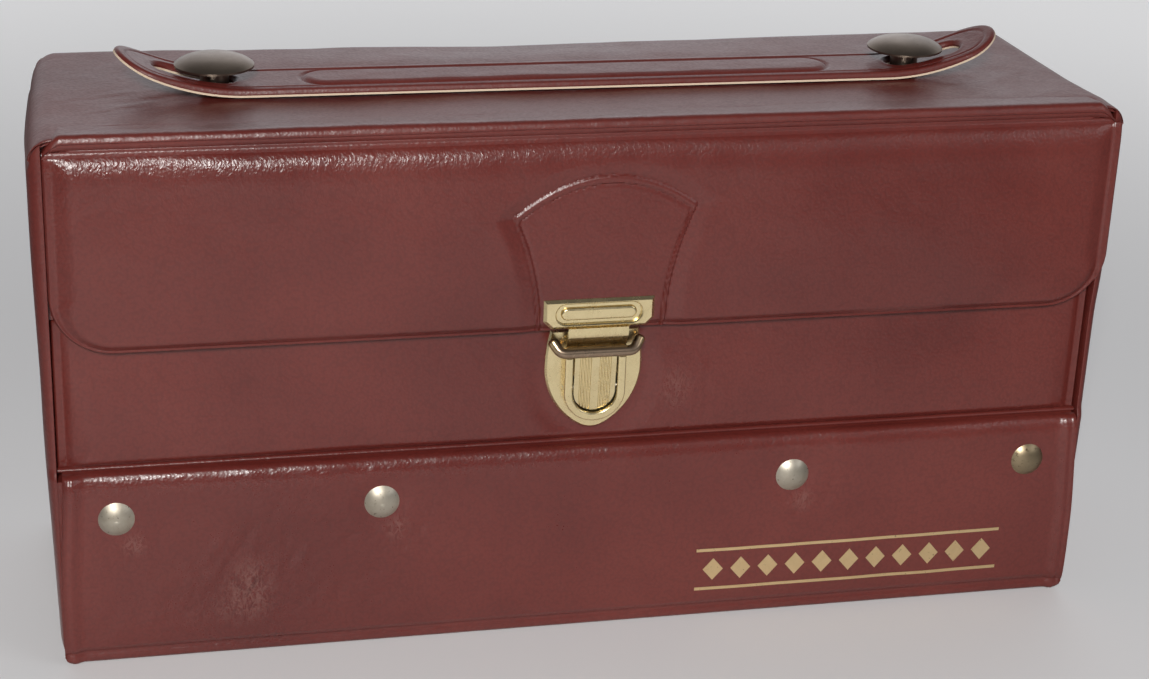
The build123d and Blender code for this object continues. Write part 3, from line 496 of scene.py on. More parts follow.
def flap_height(x, z):
    over_x, under_z = np.abs(x) - (FLAP_HALF - FLAP_CORNER), FLAP_LOW + FLAP_CORNER - z
    in_corner = (over_x > 0) & (under_z > 0)
    round_edge = FLAP_CORNER - np.hypot(np.maximum(over_x, 0), np.maximum(under_z, 0))
    turn = np.arctan2(np.maximum(over_x, 0), np.maximum(under_z, 1e-6)) / (math.pi / 2)
    side, low, high = FLAP_HALF - np.abs(x), z - FLAP_LOW, FLAP_TOP - z
    edge = np.where(in_corner, round_edge, np.minimum(side, low))
    margin = np.where(in_corner, EDGE_BEAD + (SIDE_MARGIN - EDGE_BEAD) * turn**2,
                      np.where(side < low, SIDE_MARGIN, EDGE_BEAD))
    inner = np.where(in_corner, (round_edge - margin) * (1 - SIDE_EASE * turn**2),
                     soft_min((side - SIDE_MARGIN) * (1 - SIDE_EASE), low - EDGE_BEAD, 1.0))
    height = SHEET_UP * rim_up(edge, RIM)
    height = height + 0.17 * bump(edge, 0.62, 0.36) - 0.75 * np.exp(-np.maximum(high, 0) / 1.6)
    rise = smooth(inner, -0.2, ROLL) * rim_up(high, 2.3)
    height += 1.35 * rise
    height -= 0.16 * bump(inner, 0.0, 0.35) * smooth(high, 1.0, 3.0)
    tall = np.clip(low / (FLAP_TOP - FLAP_LOW), 0, 1)
    swell = (1 - (np.abs(x) / FLAP_HALF) ** 6) * np.sin(math.pi * tall) ** 0.8
    outer, inner_fan = fan_depths(x, z)
    flat = smooth(outer, -5.0, 0.2)
    height = height + (0.45 + FLAP_SWELL * (1 - flat)) * swell + 0.35 * bump(high, 7.0, 4.5) * rise
    height += (0.34 * flap_soft(x, z) + 0.05 * flap_fine(x, z)) * rise * (1 - flat)
    height = height + creases(x, z, flap_lines) * rise * (1 - flat) - 0.50 * flat
    reach = smooth(z, FLAP_LOW - 2, FLAP_LOW + 1)
    welt = smooth(outer, -0.1, 0.5) * (1 - smooth(inner_fan, -0.5, 0.1))
    grooves = 0.26 * bump(outer, -0.15, 0.32)
    height += reach * (0.34 * welt - grooves - 0.30 * bump(inner_fan, 0.15, 0.32))
    left = smooth(-x, -60, 110)
    worn = (0.35 + 0.65 * left) * bump(high, 2.2, 2.8) + 0.5 * bump(high, 7.0, 4.0) * left
    worn += 0.5 * bump(side, 4.2, 1.6) * smooth(z, 120, 140)
    # fold also sets a faint painted highlight on the wrinkle crests along the shoulder's left end
    fold = (0.8 * bump(high, 3.5, 3.0) + 0.4 * bump(high, 10.0, 5.0)) * (0.2 + 0.8 * left)
    return height, worn * (1 - flat), fold * (1 - flat)


xs = stations((-FLAP_HALF, -138.0, 0.30), (-138.0, -125.0, 0.9), (-125.0, -30.0, 1.9), (-30.0, -15.0, 0.36),
              (-15.0, 15.0, 0.6), (15.0, 30.0, 0.36), (30.0, 125.0, 1.9), (125.0, 138.0, 0.9),
              (138.0, FLAP_HALF, 0.30))
shares = counted((0, 0.06, 12), (0.06, 0.18, 12), (0.18, 0.80, 64), (0.80, 0.93, 20), (0.93, 1.0, 26))
low = flap_low(xs)
z = low + (FLAP_TOP - low) * shares[:, None]
x = np.broadcast_to(xs[None, :], z.shape)
height, worn, fold = flap_height(x, z)
# it hangs askew: its right edge lies over the end's rounded corner
laid = x + FLAP_OVER * smooth(x, 112.0, FLAP_HALF)
over_end = smooth(laid, FLAP_HALF - 0.9, FLAP_HALF + 0.1)
front = np.stack([laid, FLAP_SHEET_BACK - height - 0.55 * over_end, z], -1)
side_near = np.where(x > 0, FLAP_HALF - laid, FLAP_HALF + x)
edge_near = np.minimum(np.minimum(side_near, z - low), FLAP_TOP - z)
back = front.copy()
back[..., 1] = np.where(edge_near < 2.0, FLAP_LINING, FLAP_SHEET_BACK + 0.02)
back[..., 1] = np.where(laid > FLAP_HALF - 0.05, FLAP_SHEET_BACK - 0.35, back[..., 1])
flap_cover = shell("flap_padded_cover", front, back, MAT_FRONT, worn=worn, fold=fold)
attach(flap_cover, "flap")
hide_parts("flap_cover", "lock_patch")

# ---- drop panel ----
DROP_SWELL = 1.15
# the opening behind the lock's lever
WINDOW_HALF, WINDOW_LOW, WINDOW_HIGH = 6.5, 64.4, 75.4
drop_soft = waves(21, 60.0)
drop_lines = patches(
    (41, 24, 71, 5.0, 6.0, 75, 50, 4.0, 0.5, 0.16),
    (42, -30, 66, 10, 5, 60, 26, 6.0, 0.6, 0.05),
)
drop_lines += [(-137.0, 59.5, 42, 9.0, 1.3, -0.35, 0.0), (137.0, 59.0, 138, 8.0, 1.2, -0.2, 0.0)]


def drop_height(x, z):
    side, low, high = FLAP_HALF - np.abs(x), z - DROP_LOW, DROP_TOP - z
    edge = np.minimum(np.minimum(side, low), high)
    inner = soft_min(soft_min(side - SIDE_MARGIN, low + 0.5, 1.2), high - SIDE_MARGIN, 1.0)
    height = SHEET_UP * rim_up(edge, RIM) + 0.22 * bump(side, 0.7, 0.4)
    rise = smooth(inner, -0.3, 2.6)
    height = height + 0.80 * rise - 0.16 * bump(side, SIDE_MARGIN, 0.35)
    tall = np.clip(low / (DROP_TOP - DROP_LOW), 0, 1)
    height += 0.35 * np.sin(math.pi * tall) * (1 - (np.abs(x) / FLAP_HALF) ** 8)
    flat = smooth(np.hypot(x / 15.5, (z - 74.0) / 17.0), 0.9, 1.3)
    forward = DROP_SWELL * smooth(low, 0.0, 3.0) * (1 - smooth(z, 62.0, 89.0))
    forward *= smooth(side, SIDE_MARGIN, 9.0)
    height += forward * flat
    dent = 0.20 * drop_soft(x, z) * rise + creases(x, z, drop_lines)
    patch = bump(np.hypot((x - 23) / 7, (z - 70) / 10), 0, 1)
    # fold also sets a painted highlight: pale streaks on the wrinkle crests of this patch right of the lock
    fold = 2.1 * patch + 0.35 * bump(x, -28, 9) * bump(z, 66, 6)
    worn = (0.9 * patch + 0.5 * bump(low, 2.5, 1.5)) * flat
    return height + dent * flat - 0.35 * (1 - flat), worn, 0.6 * fold * flat


xs = stations((-FLAP_HALF, -137.0, 0.35), (-137.0, -125, 1.0), (-125.0, -WINDOW_HALF, 1.5),
              (-WINDOW_HALF, WINDOW_HALF, 1.5), (WINDOW_HALF, 15.0, 1.5), (15.0, 42.0, 0.6),
              (42.0, 125.0, 1.8), (125.0, 137, 1.0), (137.0, FLAP_HALF, 0.35))
zs = stations((DROP_LOW, 60.0, 0.3), (60.0, WINDOW_LOW, 0.7), (WINDOW_LOW, WINDOW_HIGH, 0.7),
              (WINDOW_HIGH, 90.0, 0.7), (90.0, 95.0, 1.0), (95.0, DROP_TOP, 0.4))
x, z = np.meshgrid(xs, zs)
middle_x, middle_z = np.meshgrid((xs[:-1] + xs[1:]) / 2, (zs[:-1] + zs[1:]) / 2)
window = (np.abs(middle_x) < WINDOW_HALF) & (middle_z > WINDOW_LOW) & (middle_z < WINDOW_HIGH)
height, worn, fold = drop_height(x, z)
front = np.stack([x, DROP_SHEET_BACK - height, z], -1)
back = front.copy()
edge_near = np.minimum(np.minimum(FLAP_HALF - np.abs(x), z - DROP_LOW), DROP_TOP - z)
back[..., 1] = np.where(edge_near < 2.0, DROP_LINING, DROP_SHEET_BACK + 0.02)
drop_cover = shell("drop_padded_cover", front, back, MAT_FRONT, opening=window, worn=worn, fold=fold)
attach(drop_cover, "drop_panel")
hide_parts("drop_cover")

# ---- band ----
band_soft, band_mid = waves(51, 75.0), waves(52, 22.0)
band_lines = patches(
    (61, -93, 22, 7, 7, 68, 46, 10.0, 0.9, 0.30),
    (62, -110, 15, 9, 5, 60, 16, 12.0, 1.3, 0.20),
    (63, -54, 34, 4.0, 2.4, 60, 30, 3.5, 0.6, 0.32),
    (64, 61, 35, 4.5, 2.8, 50, 34, 4.0, 0.6, 0.32),
    (65, -62, 14, 12, 6, 25, 18, 12.0, 1.4, 0.16),
    (66, 20, 20, 30, 8, 80, 18, 14.0, 1.6, 0.05),
)
shoulder_lines = patches(
    (67, -60, 50.5, 70, 1.8, 84, 150, 2.8, 0.5, 0.11),
    (68, 70, 50.0, 50, 1.6, 84, 60, 3.2, 0.5, 0.07),
)

# sections are points of (y, z), from the band's ledge down to its foot
BAND_PATH = [(LEDGE, BAND_TOP - 0.3), (-39.95, BAND_TOP + 0.1), (-40.5, BAND_TOP + 0.2),
             (-41.1, BAND_TOP - 0.05), (-41.8, BAND_TOP - 0.15), (-42.7, BAND_TOP - 0.55),
             (-43.35, BAND_TOP - 1.35), (-43.85, BAND_TOP - 2.5), (-44.2, BAND_TOP - 3.8),
             (-44.35, BAND_TOP - 5.5), (-44.35, 46.0), (-44.3, 30.0), (-44.3, 15.0), (-44.1, 7.0),
             (-43.65, 4.5), (-43.0, 3.6), (-42.95, 3.0), (-43.3, 2.2), (-43.35, 1.2), (-43.1, 0.5),
             (-42.7, 0.3)]
ticks = counted((0, 0.03, 12), (0.03, 0.18, 48), (0.18, 0.86, 74), (0.86, 1.0, 34))
line, normal, length, at = along_path(BAND_PATH, ticks)
xs = stations((-HALF, -138.0, 0.35), (-138.0, -100.0, 1.0), (-100.0, -85.0, 0.7), (-85.0, -50.0, 0.8),
              (-50.0, 50.0, 1.4), (50.0, 72.0, 0.8), (72.0, 120.0, 1.4), (120.0, 138.0, 1.0),
              (138.0, HALF, 0.35))
x, z_path = np.meshgrid(xs, line[:, 1])
side = HALF - np.abs(x)
soft_side = smooth(side, 2.0, 5.2)
lift = -0.75 * (1 - soft_side) - 0.55 * (1 - smooth(side, 0.0, 0.6)) + 0.24 * bump(side, 1.4, 0.55)
away, under = np.full(x.shape, 1e3), np.zeros(x.shape)
for rx, rz in RIVETS:
    away = np.minimum(away, np.hypot(x - rx, z_path - rz))
    # the last rivet has no creases under it
    if rx < 100:
        under += bump(np.hypot(x - rx - 3.8, z_path - rz + 8.0), 0, 4.6)
face = smooth(z_path, 5.0, 10.0)
quilt = band_soft(x, z_path) * 0.34 + band_mid(x, z_path) * 0.07
lift += (quilt + 0.16 * bump(away, 11.0, 3.6)) * soft_side * face
wrinkles = creases(x, z_path, band_lines) * face + creases(x, z_path, shoulder_lines)
lift = lift + wrinkles * soft_side - 0.10 * bump(z_path, 5.2, 0.5) * soft_side
lift *= smooth(at, 1.2, 4.2)[:, None]
y_face = line[:, :1] + normal[:, :1] * lift
well = (1 - smooth(away, 4.9, 10.5)) * face
y_face = y_face * (1 - well) + RIVET_SEAT * well
narrow = 1 - BAND_TAPER / HALF * smooth(z_path, 22.0, 55.0)
front = np.stack([x * narrow, y_face, z_path + normal[:, 1:] * lift], -1)
corner = np.clip(1 - side / 2.6, 0, 1)
front[..., 2] = np.maximum(front[..., 2], 0.3 + 2.6 * (1 - np.sqrt(np.clip(1 - corner**2, 0, 1))))
arc = at[:, None]
patch = bump(np.hypot((x + 93) / 9.0, (z_path - 20) / 13.0), 0, 1)
patch += 0.5 * bump(np.hypot((x + 110) / 12, (z_path - 12) / 8), 0, 1)
worn = bump(arc, 6.0, 2.6) * (0.35 + 0.65 * smooth(-x, -90, 110))
worn = worn + 0.5 * patch + 0.5 * under + 0.4 * bump(side, 3.5, 1.2)
left = smooth(-x, -100, 110)
# fold also sets a painted highlight: pale streaks on the wrinkle crests in the patches and under the rivets
fold = 0.45 * bump(arc, 8.0, 2.4) * (0.35 + 0.65 * left) + 1.5 * patch + 1.5 * under
fold += 0.25 * left * bump(x, -64, 16) * bump(z_path, 12, 7)
back = front.copy()
back[..., 1] = np.maximum(front[..., 1] + 0.75, -42.13)
back[..., 2] = np.minimum(front[..., 2], BAND_TOP - 0.7)
band_cover = shell("band_padded_cover", front, back, MAT_EDGE, worn=worn, fold=fold)
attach(band_cover, "case")
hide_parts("band_cover")

# ---- top ----
top_soft, top_mid = waves(71, 85.0), waves(72, 20.0)
# across the case's middle the sheet dips under the front roll; over the ends it runs level to its front edge
REAR_PATH = [(-30.0, 145.85), (-22.0, 145.3), (-12.0, 144.9), (0.0, 144.75), (14.0, 144.8), (30.0, 144.9),
             (38.0, 145.0), (41.0, 144.9), (42.8, 144.3), (43.7, 143.4), (43.75, 142.9)]
TOP_PATH = [(-42.2, 142.0), (-42.5, 142.6), (-42.4, 143.3), (-41.8, 143.8), (-40.4, 143.9), (-38.7, 143.9),
            (-37.4, 144.2), (-36.0, 145.0), (-33.5, 145.9)] + REAR_PATH
EDGE_PATH = [(-41.6, 145.45), (-41.85, 145.5), (-42.05, 145.6), (-42.15, 145.8), (-42.0, 146.0),
             (-41.6, 146.12), (-40.6, 146.15), (-38.6, 146.15), (-35.0, 146.1)] + REAR_PATH
ticks = counted((0, 0.10, 30), (0.10, 0.16, 14), (0.16, 0.93, 60), (0.93, 1.0, 18))
line, normal, length, at = along_path(TOP_PATH, ticks)
edge_line = along_path(EDGE_PATH, ticks)[0]
FOLD_FROM, FOLD_R, FOLD_TURN, FOLD_DROP, TOP_TAPER = 138.6, 6.5, math.radians(76), 0.2, 2.4
fold_length = FOLD_R * FOLD_TURN + FOLD_DROP


def end_taper(y):
    """How much nearer the middle the case's ends stand, at this distance back."""
    return TOP_TAPER * np.clip((y - FRONT) / (BACK - FRONT), 0, 1) ** 2


ws = stations((-FOLD_FROM - fold_length, -FOLD_FROM, 0.45), (-FOLD_FROM, -130.0, 0.8), (-130.0, -100.0, 1.4),
              (-100.0, 100.0, 2.2), (100.0, 130.0, 1.4), (130.0, FOLD_FROM, 0.8),
              (FOLD_FROM, FOLD_FROM + fold_length, 0.45))
over = np.clip(np.abs(ws) - FOLD_FROM, 0, None)
turn = np.minimum(over / FOLD_R, FOLD_TURN)
down = np.maximum(over - FOLD_R * FOLD_TURN, 0)
flat_part = np.minimum(np.abs(ws), FOLD_FROM)
x_flat = np.sign(ws) * (flat_part + FOLD_R * np.sin(turn) + down * math.cos(FOLD_TURN))
z_fold = FOLD_R * (1 - np.cos(turn)) + down * math.sin(FOLD_TURN)
w, arc = np.meshgrid(ws, at)
outside = smooth(np.abs(w), 134.0, 139.0)
y_path = line[:, :1] * (1 - outside) + edge_line[:, :1] * outside
z_path = line[:, 1:] * (1 - outside) + edge_line[:, 1:] * outside
crown = smooth(arc, 6.0, 11.0) * (1 - smooth(arc, length - 4.0, length))
top_lines = patches(
    (73, -118, -12, 10, 9, 20, 30, 12.0, 1.0, 0.10),
    (74, 118, -8, 9, 12, 60, 34, 12.0, 1.0, 0.09),
    (75, 0, -28, 80, 4, 4, 40, 14.0, 1.0, 0.07),
)
lift = (0.20 * top_soft(w, y_path) + 0.05 * top_mid(w, y_path) + creases(w, y_path, top_lines)) * crown
sag = 1.3 * bump(w, -10.0, 80.0) * smooth(y_path, 22.0, 42.0)
tuck = smooth(over, 1.0, fold_length) * (1 - smooth(y_path, -41.0, -30.0))
hem = smooth(over, 0.0, fold_length) * smooth(y_path, 30.0, 42.0)
y_top = y_path + normal[:, :1] * lift + 1.2 * tuck - 2.4 * hem
z_top = z_path + normal[:, 1:] * lift - z_fold - sag
out_x = x_flat - np.sign(ws) * end_taper(y_path) * smooth(np.abs(w), 90, FOLD_FROM)
front = np.stack([out_x, y_top, z_top], -1)
back = front.copy()
thick = 0.45 * smooth(over, 0.0, 2.0)
under_side = np.where(y_path < -41.0, 142.2, 142.92)
back[..., 2] = np.where(over > 0, z_top - 0.35 - thick * np.cos(turn), np.minimum(z_top - 0.3, under_side))
back[..., 1] = np.where(y_path < -41.9, np.maximum(y_top, -42.0), y_top)
back[..., 0] = out_x - np.sign(ws) * thick * np.sin(turn)
worn = 0.4 * bump(over, 3.0, 2.0)
fold = 0.25 * bump(np.hypot((w - 112) / 26, (y_path + 6) / 26), 0, 1)
top_cover = shell("top_padded_cover", front, back, MAT_TOP, worn=worn, fold=fold)
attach(top_cover, "case")
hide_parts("top_cover")

# the padded roll along the front edge
ROLL_PATH = [(-41.6, 142.9), (-42.2, 143.0), (-42.6, 143.4), (-42.85, 143.9), (-43.05, 144.3),
             (-43.0, 144.55), (-42.9, 144.7), (-43.2, 144.85), (-43.55, 145.1), (-43.35, 145.75),
             (-43.05, 146.4), (-42.65, 146.85), (-41.8, 147.15), (-40.2, 147.02), (-38.4, 146.75),
             (-36.4, 146.45), (-33.6, 146.15), (-30.5, 145.8)]
ROLL_HALF, ROLL_BEND, ROLL_DROP, ROLL_BASE = 141.5, 136.8, 3.0, 142.6
line, normal, length, at = along_path(ROLL_PATH, np.linspace(0, 1, 74))
ws = stations((-ROLL_HALF, -134.0, 0.5), (-134.0, 134.0, 0.9), (134.0, ROLL_HALF, 0.5))
w, along = np.meshgrid(ws, at)
y_path, z_path = line[:, :1], line[:, 1:]
bend = np.clip((np.abs(w) - ROLL_BEND) / (ROLL_HALF - ROLL_BEND), 0, 1)
roll_soft, roll_mid = waves(77, 60.0), waves(78, 7.0)
bead_lines = patches(
    (76, -85, 12.0, 48, 2.2, 84, 150, 2.6, 0.45, 0.10),
    (79, 60, 12.0, 60, 2.2, 84, 90, 2.6, 0.45, 0.06),
)
dents = creases(w, along + 4.6, bead_lines) * smooth(along, 4.0, 6.0)
lift = 0.10 * roll_soft(w, 0 * w) + 0.025 * roll_mid(w, along) + dents
lift = lift * (1 - bend) * smooth(along, 1.0, 3.0) * (1 - smooth(along, length - 6.0, length - 2.0))
tail = smooth(y_path, -36.0, -31.0)
sink = ROLL_DROP * bend**1.6 * (1 - tail) + 1.6 * bend**2 * tail
shrink = 1 - 0.35 * bend**2
z_roll = ROLL_BASE + (z_path - ROLL_BASE) * shrink - sink * (0.35 + 0.65 * smooth(z_path, 143.0, 146.0))
y_roll = y_path + 0.5 * bend**2
front = np.stack([w, y_roll + normal[:, :1] * lift, z_roll + normal[:, 1:] * lift], -1)
back = front.copy()
back[..., 1] = np.maximum(front[..., 1], -42.0)
back[..., 2] = np.minimum(front[..., 2] - 0.2, 142.95 + 2.7 * smooth(y_path, -40.0, -34.0) - 1.5 * bend)
worn = 1.1 * bump(along, 5.5, 2.0) * (0.3 + 0.7 * smooth(-w, -100, 120))
fold = 0.30 * bump(along, 6.0, 1.8) * smooth(-w, -100, 100)
front_roll = shell("top_front_roll", front, back, MAT_TOP, worn=worn, fold=fold)
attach(front_roll, "case")
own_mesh(front_roll)

# ---- ends and back ----
end_soft = waves(81, 60.0)
sheet_y, sheet_z = edge_line[6:, 0], edge_line[6:, 1]
END_BACK, END_FACE, CORNER_DEEP, CORNER_IN = 42.15, 140.42, 4.2, 1.62
# heights where the end's front edge steps back behind the drop panel and again behind the flap
DROP_FROM, DROP_STEP, FLAP_FROM, FLAP_STEP, CAP_FROM, CAP_TALL = 53.6, -36.30, 97.8, -39.55, 136.0, 9.0
zs = stations((0.3, 5.0, 0.4), (5.0, 53.2, 1.8), (53.2, 54.0, 0.2), (54.0, 58.0, 0.6), (58.0, 97.0, 1.6),
              (97.0, 98.6, 0.2), (98.6, CAP_FROM, 1.6), (CAP_FROM, CAP_FROM + CAP_TALL, 0.4))
quarter = np.linspace(0, math.pi / 2, 12)
corner_in = np.r_[0.0, 1.28, 1.30, 1.32, 1.42, CORNER_IN]
inside = len(corner_in)
rear = np.r_[np.linspace(0, 0.955, 42), np.linspace(0.96, 1.0, 12)][1:]
base = np.r_[corner_in, np.full(len(quarter), CORNER_IN), np.zeros(len(rear))]
out = np.r_[np.zeros(inside), np.sin(quarter), np.ones(len(rear))]
walk = np.r_[0.0, 0.0, 0.5, 0.92, 0.99, 1.0, np.ones(len(quarter) + len(rear))]
for label, sign in (("left", -1), ("right", 1)):
    z = np.repeat(zs[:, None], len(out), 1)
    step = np.where(z < DROP_FROM, -END_BACK, np.where(z < FLAP_FROM, DROP_STEP, FLAP_STEP))
    front_line = -42.3 + 1.0 * smooth(z, DROP_FROM, 57.0) * (1 - smooth(z, 84.0, 99.0))
    y = step + (front_line - step) * walk
    start = front_line[:, :1]
    y[:, inside:-len(rear)] = start + CORNER_DEEP * (1 - np.cos(quarter))
    y[:, -len(rear):] = start + CORNER_DEEP + (END_BACK - CORNER_DEEP - start) * rear
    sheet_at = np.interp(y, sheet_y, sheet_z) - FOLD_R
    reach = END_FACE - FOLD_FROM + end_taper(y)
    cap = sheet_at + np.sqrt((FOLD_R - 0.35) ** 2 - reach**2)
    z = np.where(z > CAP_FROM, CAP_FROM + (z - CAP_FROM) * (cap - CAP_FROM) / CAP_TALL, z)
    share_y = np.clip((y + END_BACK) / (2 * END_BACK), 0, 1)
    belly = (4 * share_y * (1 - share_y)) ** 0.5
    ends = np.minimum((z - 0.3) * 0.6, (cap + 0.1 - z) * 4.0)
    swell = 1.3 + 1.9 * smooth(z, 0, 62) + 1.2 * smooth(z, 60, 128)
    full = 1.1 + swell * (0.84 * smooth(ends, 0.5, 3.6) + 0.16 * belly)
    full = full + 0.22 * end_soft(y, z + 300 * sign) * belly - end_taper(y) * smooth(z, 20, 120) * 0.75
    last = END_BACK - y
    full = full * rim_up(last, 0.3) * (0.45 + 0.55 * smooth(last, 0.6, 4.4))
    height = np.where(out > 0, base + (full - base) * out, base)
    height = np.minimum(height, 1.1 * rim_up(ends, 0.25) + 10.0 * smooth(ends, 0.15, 3.0))
    under_fold = np.maximum((FOLD_R - 0.5) ** 2 - np.maximum(z - sheet_at, 0) ** 2, 0.0)
    under_fold = -reach + np.sqrt(under_fold)
    free = 3.4 * (1 - smooth(z, sheet_at - 9.0, sheet_at + 0.8))
    height = np.maximum(soft_min(height, under_fold + free, 0.3), 0.02)
    front = np.stack([sign * (END_FACE + height), y, z], -1)
    back = front.copy()
    back[..., 0] = sign * END_FACE
    # its inner side never turns back on itself
    back[..., 1] = np.maximum.accumulate(np.maximum(y, step + 0.03 * np.arange(y.shape[1])), axis=1)
    worn = 0.5 * bump(y, front_line + 2.0, 1.6)
    if sign < 0:
        front, back, worn = front[:, ::-1], back[:, ::-1], worn[:, ::-1]
    end_cover = shell(label + "_end_padded_cover", front, back, MAT_FRONT, worn=worn)
    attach(end_cover, "case")
    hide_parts(label + "_end_cover")

back_soft = waves(91, 70.0)
BACK_SHEET, BACK_LOW, BACK_HIGH, BACK_CORNER = 42.17, 0.3, 142.9, 4.0
xs = stations((-HALF, -137.0, 0.4), (-137.0, 137.0, 2.0), (137.0, HALF, 0.4))
zs = stations((BACK_LOW, 5.0, 0.4), (5.0, 138.0, 2.0), (138.0, BACK_HIGH, 0.4))
x, z = np.meshgrid(xs, zs)
over_x, under_z = np.abs(x) - (HALF - BACK_CORNER), BACK_LOW + BACK_CORNER - z
in_corner = (over_x > 0) & (under_z > 0)
edge = np.minimum(np.minimum(HALF - np.abs(x), z - BACK_LOW), BACK_HIGH - z)
edge = np.where(in_corner, BACK_CORNER - np.hypot(np.maximum(over_x, 0), np.maximum(under_z, 0)), edge)
height = 0.8 * rim_up(edge, RIM) + 0.18 * bump(edge, 0.8, 0.4)
cushion = 0.85 + 0.45 * np.sin(math.pi * z / 143) * (1 - (x / HALF) ** 4) + 0.16 * back_soft(x, z)
height += smooth(edge, 2.0, 5.0) * cushion
front = np.stack([x, BACK_SHEET + height, z], -1)
back = front.copy()
back[..., 1] = BACK_SHEET
pinch = 1 - np.clip(over_x / BACK_CORNER, 0, 1) ** 2
low_at = BACK_LOW + BACK_CORNER * (1 - np.sqrt(np.clip(pinch, 0, 1)))
over_top = np.clip(np.abs(x) - (FOLD_FROM - TOP_TAPER), 0, 6.0)
high_at = 138.0 + np.sqrt(6.2**2 - over_top**2)
for grid in (front, back):
    grid[..., 2] = np.minimum(np.maximum(grid[..., 2], low_at), high_at)
back_cover = shell("back_padded_cover", front[:, ::-1], back[:, ::-1], MAT_FRONT)
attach(back_cover, "case")
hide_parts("back_cover")

# ---- live hinges ----
for name, points, thick, body, start, end in (
    ("flap_live_hinge", [(-42.0, 142.55), (-42.25, 142.2), (-42.35, 141.8), (-42.45, 141.2)], 0.5, "flap",
     (0, -0.0424, 0.1424), (0, -0.0432, 0.1414)),
    ("drop_live_hinge", [(-39.2, 55.15), (-39.75, 55.32), (-40.0, 55.55), (-39.7, 55.9), (-39.2, 56.1)], 0.5,
     "drop_panel", (0, -0.0397, 0.0553), (0, -0.0395, 0.0559)),
):
    line, normal, length, at = along_path(points, np.linspace(0, 1, 15))
    xs = np.linspace(-FLAP_HALF + 0.2, FLAP_HALF - 0.2, 40)
    layers = []
    for push in (thick / 2, -thick / 2):
        x, y = np.meshgrid(xs, line[:, 0] + normal[:, 0] * push)
        z = np.meshgrid(xs, line[:, 1] + normal[:, 1] * push)[1]
        layers.append(np.stack([x, y, z], -1))
    strip = shell(name, layers[0], layers[1], MAT_EDGE)
    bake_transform(strip)

# ---- strap ----
STRAP_HALF_W, CURL_FROM, CURL_R, TIP, BACKING = 10.25, 88.0, 60.0, 121.98, 0.5
SLOT_IN, SLOT_OUT, SLOT_HALF, SLOT_STRAIGHT = STUD_X - 5.2, STUD_X + 16.6, 4.2, 6.7
GRIP_HALF, GRIP_HALF_W = 66.5, 6.6


def strap_rise(s):
    """Height of the strap's underside above its flat middle, at distance s along X from the centre."""
    over = np.clip(np.abs(s) - CURL_FROM, 0, 40)
    return CURL_R - np.sqrt(CURL_R**2 - over**2)


def strap_tilt(s):
    over = np.clip(np.abs(s) - CURL_FROM, 0, 40)
    return np.arcsin(over / CURL_R) * np.sign(s)


def strap_outer(s):
    over = np.clip(np.abs(s) - (TIP - STRAP_HALF_W), 0, STRAP_HALF_W)
    return np.sqrt(np.maximum(STRAP_HALF_W**2 - over**2, 1e-4))


def slot_half(s):
    s = np.abs(s)
    inside = np.clip(np.minimum(s - SLOT_IN, SLOT_OUT - s), 0, SLOT_HALF)
    return np.sqrt(np.maximum(SLOT_HALF**2 - (SLOT_HALF - inside) ** 2, 0))


grip_soft, grip_fold = waves(101, 24.0), waves(102, 6.0)


def strap_top(s, t):
    """Thickness of the strap's vinyl above the backing, with its pressed line and padded grip."""
    past = np.abs(s) - (TIP - STRAP_HALF_W)
    edge = np.minimum(STRAP_HALF_W - np.abs(t), np.where(past > 0, STRAP_HALF_W - np.hypot(past, t), 1e3))
    height = 1.55 * np.sqrt(np.clip(1 - np.clip(1 - edge / 0.9, 0, 1) ** 2, 0.04, 1))
    height = height - 0.30 * bump(edge, 2.6, 0.32) + 0.10 * bump(edge, 1.7, 0.5)
    from_slot = np.abs(np.abs(s) - (SLOT_IN + SLOT_OUT) / 2) - SLOT_STRAIGHT
    hole = np.hypot(np.maximum(from_slot, 0), t) - SLOT_HALF
    height = height - 0.9 * bump(hole, 0.0, 0.35) + 0.14 * bump(hole, 1.2, 0.6)
    inside = GRIP_HALF_W - np.hypot(np.maximum(np.abs(s) - GRIP_HALF, 0), t)
    height = height * (1 - 0.35 * smooth(np.abs(s), 104.0, 119.0)) - 0.50 * bump(inside, 0.0, 0.5)
    rough = (0.05 * grip_soft(s, t) + 0.02 * grip_fold(s * 0.4, t)) * smooth(inside, 0.5, 3.0)
    return height + 0.45 * smooth(inside, 0.3, 2.2) + rough


